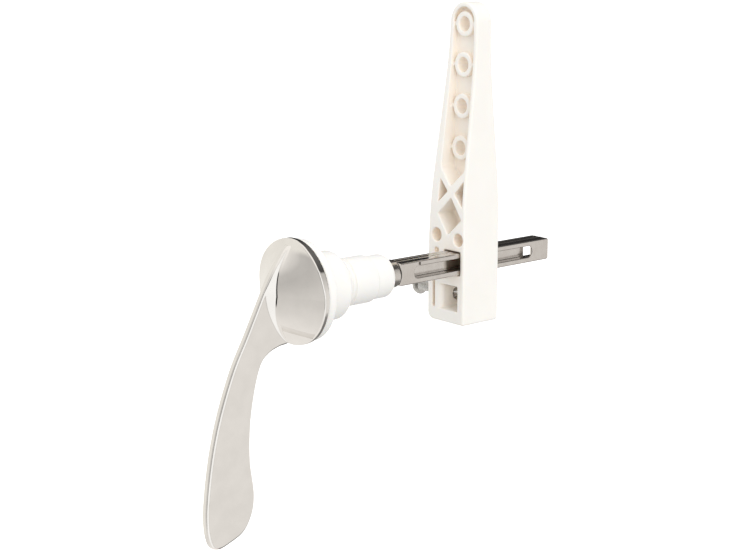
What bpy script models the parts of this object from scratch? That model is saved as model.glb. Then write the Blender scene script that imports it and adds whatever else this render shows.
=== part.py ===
"""Cistern flush lever: chrome lever handle, white wall bush with backnut, folded
square spindle and a plastic lift arm that is clamped along the spindle.

Frame: metres, +Z up. The turning axis is the Y axis. The wall seat, which is the
back face of the bush's flange, lies in the plane Y = 0, the handle is on the -Y
side and the lift arm on the +Y side. The handle hangs down and the arm stands up.
"""

import math

import bmesh
import bpy
from mathutils import Matrix, Vector

MM = 0.001

# ---------------------------------------------------------------- driving sizes
CLEARANCE = 0.3 * MM            # gap between neighbouring pieces
OVERCUT = 1.0 * MM              # how far a cutter runs past the face it cuts

SPINDLE_SIZE = 9.0 * MM         # across the flats of the square spindle
SHEET = 0.8 * MM                # sheet thickness of the folded spindle
SHANK_RADIUS = 5.5 * MM
HEAD_RADIUS = 19.7 * MM
FLANGE_RADIUS = 18.9 * MM
FLANGE_THICKNESS = 3.9 * MM
SEAT_INNER_RADIUS = 13.2 * MM   # the flange bears on the wall outside this radius
SEAT_RELIEF = 0.4 * MM
BARREL_RADIUS = 9.1 * MM
NUT_RADIUS = 13.0 * MM

# ------------------------------------------------ lever handle (head and blade)
HEAD_BACK_Y = -(FLANGE_THICKNESS + CLEARANCE)
RIM_THICKNESS = 2.0 * MM
CREST_HEIGHT = 9.1 * MM         # rise of the crest over the rim
CREST_HALF_WIDTH = 3.6 * MM
CREST_POWER_ABOVE = 1.2         # how soon the crest falls above and below the middle
CREST_POWER_BELOW = 0.7
DISH_POWER = 1.1                # above 1 the two halves of the head are dished
HEAD_SEGMENTS = 56
HEAD_RINGS = 9
BLADE_THICKNESS = 3.2 * MM
BOSS_RADIUS = 7.2 * MM
BOSS_END_Y = 8.0 * MM
SOCKET_RADIUS = 4.3 * MM
SOCKET_DEPTH = 11.4 * MM

# Side view of the blade, as (Y, Z): the outer edge from the top of the head
# down to the tip, then the inner edge back up into the head.
BLADE_OUTER_EDGE = (
    (-7.4, 17.2), (-13.0, 11.6), (-18.4, 4.0), (-23.1, -4.9), (-27.6, -13.5),
    (-33.6, -24.6), (-39.6, -40.0), (-43.6, -55.0), (-46.1, -71.0), (-46.4, -81.0),
)
BLADE_TIP = ((-44.7, -88.0), (-41.4, -89.8), (-37.0, -88.9))
BLADE_INNER_EDGE = (
    (-30.1, -85.7), (-26.2, -79.4), (-25.2, -71.6), (-26.7, -59.5), (-26.3, -46.0),
    (-24.2, -33.8), (-20.6, -23.4), (-16.9, -19.6), (-11.0, -17.6), (-8.0, -13.0),
)
BLADE_ROOT = ((-7.0, -5.0), (-6.4, 5.0), (-5.8, 13.0))

# ----------------------------------------------------------------- turning shank
SPIGOT_RADIUS = SOCKET_RADIUS - CLEARANCE
SHANK_START_Y = HEAD_BACK_Y + 1.2 * MM
SHANK_END_Y = 41.8 * MM
TANG_SIZE = SPINDLE_SIZE - 2 * SHEET - 2 * CLEARANCE
TANG_LENGTH = 6.9 * MM
PIN_Y = 2.6 * MM
PIN_RADIUS = 1.2 * MM
PIN_LENGTH = 13.4 * MM

# ------------------------------------------------------- bush and its neighbours
THRUST_WASHER_INNER = BOSS_RADIUS + CLEARANCE
THRUST_WASHER_OUTER = 11.6 * MM
THRUST_WASHER_THICKNESS = 1.0 * MM
BARREL_END_Y = 28.1 * MM
NECK_RADIUS = 6.9 * MM          # reduced end of the barrel, inside the end collar
NECK_END_Y = 31.6 * MM
SEALING_WASHER_THICKNESS = 1.2 * MM
SEALING_WASHER_OUTER = 12.3 * MM
NUT_START_Y = SEALING_WASHER_THICKNESS + 2 * CLEARANCE
NUT_SHOULDER_Y = 10.6 * MM
NUT_END_Y = 12.6 * MM
NUT_END_RADIUS = 11.2 * MM
COLLAR_RADIUS = 8.35 * MM
COLLAR_START_Y = BARREL_END_Y + CLEARANCE
COLLAR_END_Y = 37.3 * MM
COLLAR_WALL = 2.4 * MM
COLLAR_ROUND = 1.6 * MM
CLIP_WASHER_THICKNESS = 0.8 * MM
CLIP_THICKNESS = 0.8 * MM
CLIP_GROOVE_RADIUS = 4.5 * MM
CLIP_MOUTH_DEG = 80.0

# --------------------------------------------------------------- folded spindle
SPINDLE_START_Y = SHANK_END_Y + CLEARANCE
SPINDLE_END_Y = 123.2 * MM
SPINDLE_CORNER = 0.9 * MM
SEAM_WIDTH = 0.35 * MM
GROOVE_START_Y = 49.5 * MM
GROOVE_END_Y = 114.1 * MM
GROOVE_HEIGHT = 4.7 * MM
WEB_HALF_THICKNESS = SHEET
WEB_END_Y = 109.6 * MM
BACK_SLOT_END_Y = 121.9 * MM
BACK_SLOT_BOTTOM_Z = -3.3 * MM
NOTCH_Y = 52.3 * MM
NOTCH_WIDTH = 0.8 * MM
NOTCH_TOP_Z = 3.7 * MM

# --------------------------------------------------------------------- lift arm
ARM_MID_Y = 82.75 * MM
ARM_RIGHT_X = 6.75 * MM
ARM_LEFT_X = -14.0 * MM
ARM_TIP_LEFT_X = -8.3 * MM
ARM_BOTTOM_Z = -24.8 * MM
ARM_WAIST_Z = 10.0 * MM         # the left side leans in above this height
ARM_TOP_CENTRE_Z = 93.7 * MM
HUB_HALF_DEPTH = 9.7 * MM
TIP_HALF_DEPTH = 3.9 * MM
DEPTH_TAPER_START_Z = 25.5 * MM
DEPTH_TAPER_END_Z = 80.0 * MM
ARM_INNER_RIGHT_X = 5.2 * MM    # inner faces of the arm's side walls, at the lattice
ARM_INNER_LEFT_X = -8.6 * MM
ARM_TIP_WALL = 1.9 * MM
ARM_EDGE_ROUND = 0.8 * MM
ARM_FOOT_ROUND = 3.0 * MM
ARM_WEB_HALF = 1.0 * MM
LATTICE_RIB = 1.3 * MM          # half width of the crossed ribs
BOSS_HALF_LENGTH = 3.5 * MM
BOSS_RING_RADIUS = 4.85 * MM
LINK_HOLE_RADIUS = 2.9 * MM
LINK_HOLE_HEIGHTS = (92.8 * MM, 77.2 * MM, 61.1 * MM, 44.7 * MM)
LATTICE_CENTRE = (-2.0 * MM, 28.7 * MM)
BOSS_RIB_THICKNESS = 1.4 * MM
HUB_HOLE_SIZE = SPINDLE_SIZE + 2 * CLEARANCE
CLAMP_POCKET_X = (-6.4 * MM, 3.4 * MM)
CLAMP_POCKET_Z = (-19.9 * MM, -9.4 * MM)
SLIT_X = (-11.35 * MM, -9.65 * MM)
SLIT_Z = (-19.4 * MM, -5.0 * MM)
CORE_FLOOR = 5.0 * MM           # from the middle of the arm to the bottom of its cores
HUB_CORES = {                   # X, Z and radius of the round cores
    "left_core": (-9.0 * MM, 10.1 * MM, 2.8 * MM),
    "right_core": (3.4 * MM, 9.4 * MM, 2.6 * MM),
    "small_core": (-8.9 * MM, 3.6 * MM, 1.5 * MM),
}

# ------------------------------------------------------------------ clamp screw
SCREW_Z = -14.6 * MM
SCREW_RADIUS = 2.5 * MM
SCREW_TIP_X = -7.9 * MM
SCREW_LENGTH = 20.0 * MM
SCREW_HEAD_RADIUS = 4.2 * MM
SCREW_HEAD_HEIGHT = 3.0 * MM
SCREW_HOLE_END_X = 6.0 * MM     # bottom of the blind hole in the hub's right wall

ROUND_SEGMENTS = 48


# --------------------------------------------------------------- scene and looks
def clear_scene():
    """Remove every object that the file starts with."""
    for obj in list(bpy.data.objects):
        bpy.data.objects.remove(obj, do_unlink=True)


def make_collection(name):
    """Return a new collection linked to the scene."""
    collection = bpy.data.collections.new(name)
    bpy.context.scene.collection.children.link(collection)
    return collection


def make_material(name, colour, roughness, metallic=0.0):
    """Return a plain Principled BSDF material."""
    material = bpy.data.materials.new(name)
    material.use_nodes = True
    shader = material.node_tree.nodes["Principled BSDF"]
    shader.inputs["Base Color"].default_value = (*colour, 1.0)
    shader.inputs["Roughness"].default_value = roughness
    shader.inputs["Metallic"].default_value = metallic
    return material


# ------------------------------------------------------------- modelling helpers
def add_object(name, mesh, collection, material=None):
    """Put a mesh in a collection as a named object."""
    obj = bpy.data.objects.new(name, mesh)
    collection.objects.link(obj)
    if material:
        mesh.materials.append(material)
    return obj


def make_cutter(obj):
    """Hide a helper shape from the build and from renders."""
    obj.hide_render = True
    obj.display_type = "WIRE"
    return obj


def bmesh_object(name, collection, build, material=None):
    """Make an object from a function that fills a bmesh."""
    shape = bmesh.new()
    build(shape)
    mesh = bpy.data.meshes.new(name)
    shape.to_mesh(mesh)
    shape.free()
    return add_object(name, mesh, collection, material)


def box(name, low, high, collection):
    """Return a box between two corners."""
    low = Vector(low)
    high = Vector(high)
    size = high - low
    place = Matrix.Translation((low + high) / 2) @ Matrix.Diagonal((*size, 1.0))
    return bmesh_object(name, collection, lambda shape: bmesh.ops.create_cube(shape, size=1.0, matrix=place))


def rod(name, start, end, radius, collection, segments=ROUND_SEGMENTS):
    """Return a round bar between two points."""
    start = Vector(start)
    end = Vector(end)
    along = end - start
    turn = along.to_track_quat("Z", "Y").to_matrix().to_4x4()
    place = Matrix.Translation((start + end) / 2) @ turn

    def build(shape):
        bmesh.ops.create_cone(shape, cap_ends=True, segments=segments, radius1=radius,
                              radius2=radius, depth=along.length, matrix=place)

    return bmesh_object(name, collection, build)


def turned(name, profile, collection, material=None, segments=ROUND_SEGMENTS):
    """Turn a closed profile of (radius, Y) points about the Y axis.

    The points run down the outer side towards -Y and back up the inner side.
    """
    mesh = bpy.data.meshes.new(name)
    points = [(radius, 0.0, along) for radius, along in profile]
    edges = [(i, (i + 1) % len(points)) for i in range(len(points))]
    mesh.from_pydata(points, edges, [])
    obj = add_object(name, mesh, collection, material)
    screw = obj.modifiers.new("Turn", "SCREW")
    screw.axis = "Z"
    screw.steps = segments
    screw.render_steps = segments
    screw.use_merge_vertices = True
    screw.merge_threshold = 0.00001
    # The turned profile stands along Z and is laid along +Y.
    obj.rotation_euler = (-math.pi / 2, 0.0, 0.0)
    return obj


def flat_outline(name, splines, half_thickness, collection, smooth=False):
    """Return a curve object: closed outlines in local XY, thick along local Z."""
    curve = bpy.data.curves.new(name, "CURVE")
    curve.dimensions = "2D"
    curve.fill_mode = "BOTH"
    curve.extrude = half_thickness
    curve.resolution_u = 5
    for points in splines:
        spline = curve.splines.new("BEZIER" if smooth else "POLY")
        if smooth:
            spline.bezier_points.add(len(points) - 1)
            for knot, (u, v) in zip(spline.bezier_points, points):
                knot.co = (u, v, 0.0)
                knot.handle_left_type = "AUTO"
                knot.handle_right_type = "AUTO"
        else:
            spline.points.add(len(points) - 1)
            for knot, (u, v) in zip(spline.points, points):
                knot.co = (u, v, 0.0, 1.0)
        spline.use_cyclic_u = True
    obj = bpy.data.objects.new(name, curve)
    collection.objects.link(obj)
    return obj


def to_mesh_object(obj, material=None):
    """Replace an object by its evaluated mesh, in world space, with welded caps."""
    bpy.context.view_layer.update()
    name = obj.name
    collection = obj.users_collection[0]
    graph = bpy.context.evaluated_depsgraph_get()
    mesh = bpy.data.meshes.new_from_object(obj.evaluated_get(graph))
    mesh.transform(obj.matrix_world)
    bpy.data.objects.remove(obj, do_unlink=True)
    shape = bmesh.new()
    shape.from_mesh(mesh)
    bmesh.ops.remove_doubles(shape, verts=shape.verts, dist=0.000001)
    bmesh.ops.dissolve_degenerate(shape, dist=0.000001, edges=shape.edges)
    bmesh.ops.recalc_face_normals(shape, faces=shape.faces)
    shape.to_mesh(mesh)
    shape.free()
    mesh.materials.clear()
    result = add_object(name, mesh, collection, material)
    result.name = name
    return result


def combine(obj, other, operation):
    """Add a Boolean modifier that joins, cuts or intersects with another object."""
    make_cutter(other)
    modifier = obj.modifiers.new(operation.title() + " " + other.name, "BOOLEAN")
    modifier.operation = operation
    modifier.object = other
    return obj


def cut(obj, *others):
    """Cut other shapes out of an object."""
    for other in others:
        combine(obj, other, "DIFFERENCE")
    return obj


def join(obj, *others):
    """Join other shapes to an object."""
    for other in others:
        combine(obj, other, "UNION")
    return obj


def round_edges(obj, width, segments=2, angle_deg=30.0):
    """Round an object's sharp edges."""
    bevel = obj.modifiers.new("Round edges", "BEVEL")
    bevel.width = width
    bevel.segments = segments
    bevel.limit_method = "ANGLE"
    bevel.angle_limit = math.radians(angle_deg)
    return obj


def smooth_shade(obj, angle_deg=35.0):
    """Shade a round piece smooth, with its sharp edges kept."""
    obj.data.shade_smooth()
    obj.data.set_sharp_from_angle(angle=math.radians(angle_deg))


def arc(centre, radius, start_deg, end_deg, steps):
    """Return points along an arc, both ends included."""
    points = []
    for i in range(steps + 1):
        angle = math.radians(start_deg + (end_deg - start_deg) * i / steps)
        points.append((centre[0] + radius * math.cos(angle), centre[1] + radius * math.sin(angle)))
    return points


def rounded_rectangle(width, height, radius, steps=4):
    """Return the outline of a rectangle with round corners, centred on the origin."""
    points = []
    half_width = width / 2 - radius
    half_height = height / 2 - radius
    corners = ((half_width, half_height), (-half_width, half_height),
               (-half_width, -half_height), (half_width, -half_height))
    for i, corner in enumerate(corners):
        points += arc(corner, radius, 90 * i, 90 * (i + 1), steps)
    return points


# ------------------------------------------------------------------ lever handle
def head_crest(z):
    """Height of the head's crest over its rim at the height z."""
    power = CREST_POWER_ABOVE if z > 0.0 else CREST_POWER_BELOW
    return CREST_HEIGHT * max(0.0, 1.0 - (z / HEAD_RADIUS) ** 2) ** power


def head_rise(x, z):
    """Height of the dished head over its rim at one point."""
    half_width = math.sqrt(max(HEAD_RADIUS ** 2 - z ** 2, 0.0))
    dish_width = max(half_width - CREST_HALF_WIDTH, 0.01 * MM)
    share = min(max(abs(x) - CREST_HALF_WIDTH, 0.0) / dish_width, 1.0)
    return head_crest(z) * (1.0 - share) ** DISH_POWER


def make_head(collection, material):
    """Round head: flat back, thin rim and two dished halves that meet in a crest."""
    rings = []
    for i in range(1, HEAD_RINGS + 1):
        rings.append((HEAD_RADIUS * (i / HEAD_RINGS) ** 0.9, True))
    rings.append((HEAD_RADIUS, False))
    front_y = HEAD_BACK_Y - RIM_THICKNESS

    def build(shape):
        crown = shape.verts.new((0.0, front_y - head_rise(0.0, 0.0), 0.0))
        loops = []
        for radius, is_front in rings:
            loop = []
            for k in range(HEAD_SEGMENTS):
                angle = 2 * math.pi * k / HEAD_SEGMENTS
                x = radius * math.cos(angle)
                z = radius * math.sin(angle)
                y = front_y - head_rise(x, z) if is_front else HEAD_BACK_Y
                loop.append(shape.verts.new((x, y, z)))
            loops.append(loop)
        for k in range(HEAD_SEGMENTS):
            after = (k + 1) % HEAD_SEGMENTS
            shape.faces.new((crown, loops[0][k], loops[0][after]))
            for inner, outer in zip(loops, loops[1:]):
                shape.faces.new((inner[k], outer[k], outer[after], inner[after]))
        shape.faces.new(list(reversed(loops[-1])))
        bmesh.ops.recalc_face_normals(shape, faces=shape.faces)

    return bmesh_object("lever_handle", collection, build, material)


def make_blade(cutters):
    """Blade: a thin plate in the plane X = 0, broad sides towards -X and +X."""
    outline = [(y * MM, z * MM) for y, z in BLADE_OUTER_EDGE + BLADE_TIP + BLADE_INNER_EDGE + BLADE_ROOT]
    blade = flat_outline("blade", [outline], BLADE_THICKNESS / 2, cutters, smooth=True)
    # Local X, Y and Z of the outline are world Y, Z and X.
    blade.matrix_world = Matrix(((0, 0, 1, 0), (1, 0, 0, 0), (0, 1, 0, 0), (0, 0, 0, 1)))
    return to_mesh_object(blade)


def make_lever_handle(collection, cutters, material):
    """One casting: head, blade and a rear boss with a socket for the shank."""
    handle = make_head(collection, material)
    boss = rod("handle_boss", (0, HEAD_BACK_Y - OVERCUT, 0), (0, BOSS_END_Y, 0), BOSS_RADIUS, cutters)
    socket = rod("handle_socket", (0, BOSS_END_Y - SOCKET_DEPTH, 0), (0, BOSS_END_Y + OVERCUT, 0),
                 SOCKET_RADIUS, cutters)
    reach = BOSS_RADIUS + OVERCUT
    pin_hole = rod("handle_pin_hole", (-reach, PIN_Y, 0), (reach, PIN_Y, 0),
                   PIN_RADIUS + CLEARANCE, cutters, segments=24)
    join(handle, make_blade(cutters), boss)
    cut(handle, socket, pin_hole)
    return handle


def make_turning_shank(collection, cutters, material):
    """Turned shank with a clip groove and a square tang that the spindle fits over."""
    groove_low = NECK_END_Y + CLIP_WASHER_THICKNESS + 2 * CLEARANCE
    groove_high = groove_low + CLIP_THICKNESS + 2 * CLEARANCE
    shoulder_y = BOSS_END_Y + CLEARANCE
    profile = [
        (0.0, SHANK_END_Y), (SHANK_RADIUS, SHANK_END_Y),
        (SHANK_RADIUS, groove_high), (CLIP_GROOVE_RADIUS, groove_high),
        (CLIP_GROOVE_RADIUS, groove_low), (SHANK_RADIUS, groove_low),
        (SHANK_RADIUS, shoulder_y), (SPIGOT_RADIUS, shoulder_y),
        (SPIGOT_RADIUS, SHANK_START_Y), (0.0, SHANK_START_Y),
    ]
    shank = to_mesh_object(turned("turning_shank", profile, collection), material)
    half = TANG_SIZE / 2
    tang = box("tang", (-half, SHANK_END_Y - OVERCUT, -half), (half, SHANK_END_Y + TANG_LENGTH, half), cutters)
    reach = SPIGOT_RADIUS + OVERCUT
    pin_hole = rod("shank_pin_hole", (-reach, PIN_Y, 0), (reach, PIN_Y, 0),
                   PIN_RADIUS + CLEARANCE, cutters, segments=24)
    join(shank, tang)
    cut(shank, pin_hole)
    return shank


def make_cross_pin(collection, material):
    """Pin that locks the shank in the handle's socket."""
    half = PIN_LENGTH / 2
    pin = rod("cross_pin", (-half, PIN_Y, 0), (half, PIN_Y, 0), PIN_RADIUS, collection, segments=24)
    pin.data.materials.append(material)
    return round_edges(pin, 0.2 * MM, segments=1)


# ------------------------------------------------------------ bush and fasteners
def ring(name, inner, outer, start_y, end_y, collection, material, segments=ROUND_SEGMENTS):
    """Return a flat ring about the Y axis."""
    profile = [(outer, end_y), (outer, start_y), (inner, start_y), (inner, end_y)]
    return turned(name, profile, collection, material, segments)


def make_thrust_washer(collection, material):
    """Slip washer between the turning head and the fixed flange."""
    start_y = -FLANGE_THICKNESS
    return ring("thrust_washer", THRUST_WASHER_INNER, THRUST_WASHER_OUTER, start_y,
                start_y + THRUST_WASHER_THICKNESS, collection, material)


def make_bush(collection, material):
    """Flanged bush: flange outside the wall, barrel through it, neck for the collar."""
    front_y = -FLANGE_THICKNESS
    recess_y = front_y + THRUST_WASHER_THICKNESS + CLEARANCE
    edge = 0.9 * MM
    bore = SHANK_RADIUS + CLEARANCE
    counterbore = THRUST_WASHER_INNER
    counterbore_end_y = BOSS_END_Y + 2 * CLEARANCE
    recess_radius = THRUST_WASHER_OUTER + CLEARANCE
    profile = [(bore, NECK_END_Y), (NECK_RADIUS, NECK_END_Y), (NECK_RADIUS, BARREL_END_Y),
               (BARREL_RADIUS, BARREL_END_Y), (BARREL_RADIUS, -SEAT_RELIEF),
               (SEAT_INNER_RADIUS, -SEAT_RELIEF), (SEAT_INNER_RADIUS, 0.0)]
    profile += arc((FLANGE_RADIUS - edge, -edge), edge, 90, 0, 3)
    profile += arc((FLANGE_RADIUS - edge, front_y + edge), edge, 0, -90, 3)
    profile += [(recess_radius, front_y), (recess_radius, recess_y), (counterbore, recess_y),
                (counterbore, counterbore_end_y), (bore, counterbore_end_y)]
    return turned("bush", profile, collection, material)


def make_sealing_washer(collection, material):
    """Soft washer between the wall and the backnut."""
    return ring("sealing_washer", BARREL_RADIUS + CLEARANCE, SEALING_WASHER_OUTER, CLEARANCE,
                CLEARANCE + SEALING_WASHER_THICKNESS, collection, material)


def make_backnut(collection, material):
    """Round backnut with a rounded rear edge."""
    inner = BARREL_RADIUS + CLEARANCE
    rise = NUT_END_Y - NUT_SHOULDER_Y
    fall = NUT_RADIUS - NUT_END_RADIUS
    profile = [(inner, NUT_END_Y)]
    steps = 5
    for i in range(steps + 1):
        angle = math.radians(90 - 90 * i / steps)
        profile.append((NUT_END_RADIUS + fall * math.cos(angle), NUT_SHOULDER_Y + rise * math.sin(angle)))
    profile += [(NUT_RADIUS, NUT_START_Y), (inner, NUT_START_Y)]
    return turned("backnut", profile, collection, material)


def make_end_collar(collection, material):
    """Cap on the barrel's neck, which covers the retaining clip."""
    bore = SHANK_RADIUS + CLEARANCE
    pocket = NECK_RADIUS + CLEARANCE
    pocket_end_y = COLLAR_END_Y - COLLAR_WALL
    profile = [(bore, COLLAR_END_Y)]
    profile += arc((COLLAR_RADIUS - COLLAR_ROUND, COLLAR_END_Y - COLLAR_ROUND), COLLAR_ROUND, 90, 0, 4)
    profile += [(COLLAR_RADIUS, COLLAR_START_Y), (pocket, COLLAR_START_Y), (pocket, pocket_end_y),
                (bore, pocket_end_y)]
    return turned("end_collar", profile, collection, material)


def make_clip_washer(collection, material):
    """Thin washer between the bush and the retaining clip."""
    start_y = NECK_END_Y + CLEARANCE
    return ring("clip_washer", SHANK_RADIUS + CLEARANCE, NECK_RADIUS, start_y,
                start_y + CLIP_WASHER_THICKNESS, collection, material)


def make_retaining_clip(collection, material):
    """Open spring ring in the shank's groove."""
    start_y = NECK_END_Y + CLIP_WASHER_THICKNESS + 3 * CLEARANCE
    inner = CLIP_GROOVE_RADIUS + CLEARANCE
    half_mouth = CLIP_MOUTH_DEG / 2
    outline = arc((0, 0), NECK_RADIUS, half_mouth, 360 - half_mouth, 36)
    outline += arc((0, 0), inner, 360 - half_mouth, half_mouth, 36)
    clip = flat_outline("retaining_clip", [outline], CLIP_THICKNESS / 2, collection)
    # The mouth of the clip, on local +X, looks down.
    clip.matrix_world = Matrix(((0, 1, 0, 0), (0, 0, -1, start_y + CLIP_THICKNESS / 2),
                                (-1, 0, 0, 0), (0, 0, 0, 1)))
    return to_mesh_object(clip, material)


# --------------------------------------------------------------- folded spindle
def groove_cutter(name, side, end_y, bottom_z, cutters):
    """Round-ended pocket that is open on one side of the spindle, side -1 or +1."""
    top_z = GROOVE_HEIGHT / 2
    height = top_z - bottom_z
    length = end_y - GROOVE_START_Y
    outline = rounded_rectangle(length, height, height / 2 - 0.05 * MM, steps=6)
    depth = SPINDLE_SIZE / 2 + OVERCUT - WEB_HALF_THICKNESS
    pocket = flat_outline(name, [outline], depth / 2, cutters)
    centre = (side * (WEB_HALF_THICKNESS + depth / 2), (GROOVE_START_Y + end_y) / 2, (top_z + bottom_z) / 2)
    place = Matrix(((0, 0, 1, 0), (1, 0, 0, 0), (0, 1, 0, 0), (0, 0, 0, 1)))
    pocket.matrix_world = Matrix.Translation(centre) @ place
    return to_mesh_object(pocket)


def make_spindle(collection, cutters, material):
    """Square spindle folded from sheet: seam on top and a pressed groove each side."""
    half_length = (SPINDLE_END_Y - SPINDLE_START_Y) / 2
    middle_y = (SPINDLE_END_Y + SPINDLE_START_Y) / 2
    inner_size = SPINDLE_SIZE - 2 * SHEET
    outlines = [rounded_rectangle(SPINDLE_SIZE, SPINDLE_SIZE, SPINDLE_CORNER),
                rounded_rectangle(inner_size, inner_size, 0.3 * MM, steps=1)]
    tube = flat_outline("spindle", outlines, half_length, collection)
    tube.matrix_world = Matrix.Translation((0, middle_y, 0)) @ Matrix.Rotation(-math.pi / 2, 4, "X")
    spindle = to_mesh_object(tube, material)

    lining_half_x = SPINDLE_SIZE / 2 - SHEET / 2
    lining_half_z = GROOVE_HEIGHT / 2 + SHEET
    lining = box("groove_lining", (-lining_half_x, GROOVE_START_Y - SHEET / 4, -lining_half_z),
                 (lining_half_x, WEB_END_Y, lining_half_z), cutters)
    bottom_z = -GROOVE_HEIGHT / 2
    near = groove_cutter("near_groove", 1, GROOVE_END_Y, bottom_z, cutters)
    far = groove_cutter("far_groove", -1, GROOVE_END_Y, bottom_z, cutters)
    back_slot = box("back_slot", (-SPINDLE_SIZE / 2 - OVERCUT, WEB_END_Y + SHEET, BACK_SLOT_BOTTOM_Z),
                    (-SPINDLE_SIZE / 2 + 2 * SHEET, BACK_SLOT_END_Y, GROOVE_HEIGHT / 2), cutters)
    seam = box("seam", (-SEAM_WIDTH / 2, SPINDLE_START_Y - OVERCUT, lining_half_z + SHEET / 4),
               (SEAM_WIDTH / 2, SPINDLE_END_Y + OVERCUT, SPINDLE_SIZE / 2 + OVERCUT), cutters)
    notch = box("notch", (SPINDLE_SIZE / 2 - 2 * SHEET, NOTCH_Y - NOTCH_WIDTH / 2, 0.0),
                (SPINDLE_SIZE / 2 + OVERCUT, NOTCH_Y + NOTCH_WIDTH / 2, NOTCH_TOP_Z), cutters)
    join(spindle, lining)
    cut(spindle, near, far, back_slot, seam, notch)
    return spindle


# --------------------------------------------------------------------- lift arm
def arm_left_x(z):
    """Left side of the arm at a height: upright at the hub, then leaning in."""
    share = (z - ARM_WAIST_Z) / (ARM_TOP_CENTRE_Z - ARM_WAIST_Z)
    share = min(max(share, 0.0), 1.0)
    return ARM_LEFT_X + (ARM_TIP_LEFT_X - ARM_LEFT_X) * share


def arm_middle_x(z):
    """Middle of the arm between its two sides."""
    return (arm_left_x(z) + ARM_RIGHT_X) / 2


def arm_tip_arc(inset):
    """Round top of the arm in X and Z, moved in by a wall thickness, from right to left."""
    tip_radius = (ARM_RIGHT_X - ARM_TIP_LEFT_X) / 2 - inset
    tip_centre = (arm_middle_x(ARM_TOP_CENTRE_Z), ARM_TOP_CENTRE_Z)
    return arc(tip_centre, tip_radius, 0, 180, 14)


def make_arm_block(collection, cutters, material):
    """The arm's outer shape: front outline and side taper, crossed."""
    foot = ARM_FOOT_ROUND
    outline = arc((ARM_LEFT_X + foot, ARM_BOTTOM_Z + foot), foot, 180, 270, 4)
    outline += [(ARM_RIGHT_X, ARM_BOTTOM_Z)]
    outline += arm_tip_arc(0.0)
    outline += [(ARM_LEFT_X, ARM_WAIST_Z)]
    block = flat_outline("lift_arm", [outline], HUB_HALF_DEPTH + OVERCUT, collection)
    block.matrix_world = Matrix.Translation((0, ARM_MID_Y, 0)) @ Matrix.Rotation(math.pi / 2, 4, "X")
    block = to_mesh_object(block, material)

    top_z = ARM_TOP_CENTRE_Z + ARM_RIGHT_X - ARM_LEFT_X
    half_side = [(HUB_HALF_DEPTH, ARM_BOTTOM_Z - OVERCUT), (HUB_HALF_DEPTH, DEPTH_TAPER_START_Z),
                 (TIP_HALF_DEPTH, DEPTH_TAPER_END_Z), (TIP_HALF_DEPTH, top_z)]
    side_outline = half_side + [(-depth, z) for depth, z in reversed(half_side)]
    width = ARM_RIGHT_X - ARM_LEFT_X
    side = flat_outline("arm_side_taper", [side_outline], width, cutters)
    place = Matrix(((0, 0, 1, 0), (1, 0, 0, 0), (0, 1, 0, 0), (0, 0, 0, 1)))
    side.matrix_world = Matrix.Translation((0, ARM_MID_Y, 0)) @ place
    combine(block, to_mesh_object(side), "INTERSECT")
    return round_edges(block, ARM_EDGE_ROUND, segments=2, angle_deg=40.0)


def pocket_outlines():
    """The arm's pockets, as outlines in X and Z: channel, two triangles, diamond."""
    x, z = LATTICE_CENTRE
    rib = LATTICE_RIB
    left = ARM_INNER_LEFT_X
    right = ARM_INNER_RIGHT_X
    channel = [(left + 0.6 * MM, z + 9.0 * MM), (x, z + rib), (right, z + 8.0 * MM)]
    channel += arm_tip_arc(ARM_TIP_WALL)
    left_triangle = [(left + 0.4 * MM, z + 4.8 * MM), (left, z - 5.4 * MM), (x - rib, z - 0.6 * MM)]
    right_triangle = [(right, z + 4.2 * MM), (x + 2 * rib, z - 1.2 * MM), (right, z - 6.6 * MM)]
    diamond = [(x + rib / 2, z - 2.8 * MM), (left, z - 10.0 * MM), (x - rib / 2, z - 18.0 * MM),
               (right, z - 11.4 * MM)]
    return {"channel": channel, "left_triangle": left_triangle, "right_triangle": right_triangle,
            "diamond": diamond}


def pocket_cutter(name, outline, side, floor_depth, cutters):
    """Cutter for a pocket in the front (side -1) or back (side +1) of the arm."""
    depth = HUB_HALF_DEPTH + OVERCUT - floor_depth
    pocket = flat_outline(name, [outline], depth / 2, cutters)
    centre_y = ARM_MID_Y + side * (floor_depth + depth / 2)
    pocket.matrix_world = Matrix.Translation((0, centre_y, 0)) @ Matrix.Rotation(math.pi / 2, 4, "X")
    return to_mesh_object(pocket)


def make_lift_arm(collection, cutters, material):
    """H-section lift arm: hub with a square hole, crossed ribs and four link bosses."""
    arm = make_arm_block(collection, cutters, material)
    for side, side_name in ((-1, "front"), (1, "back")):
        for name, outline in pocket_outlines().items():
            cut(arm, pocket_cutter(side_name + "_" + name, outline, side, ARM_WEB_HALF, cutters))
    for i, height in enumerate(LINK_HOLE_HEIGHTS, start=1):
        middle = arm_middle_x(height)
        near_y = ARM_MID_Y - BOSS_HALF_LENGTH
        far_y = ARM_MID_Y + BOSS_HALF_LENGTH
        boss = rod("link_boss_%d" % i, (middle, near_y, height), (middle, far_y, height),
                   BOSS_RING_RADIUS, cutters, segments=32)
        half_rib = BOSS_RIB_THICKNESS / 2
        rib_left = arm_left_x(height) + ARM_TIP_WALL / 2
        rib_right = ARM_RIGHT_X - ARM_TIP_WALL / 2
        setback = 0.2 * MM
        rib = box("boss_rib_%d" % i, (rib_left, near_y + setback, height - half_rib),
                  (rib_right, far_y - setback, height + half_rib), cutters)
        hole = rod("link_hole_%d" % i, (middle, near_y - OVERCUT, height), (middle, far_y + OVERCUT, height),
                   LINK_HOLE_RADIUS, cutters, segments=32)
        join(arm, boss, rib)
        cut(arm, hole)
    cut(arm, *hub_cutters(cutters))
    return arm


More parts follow.
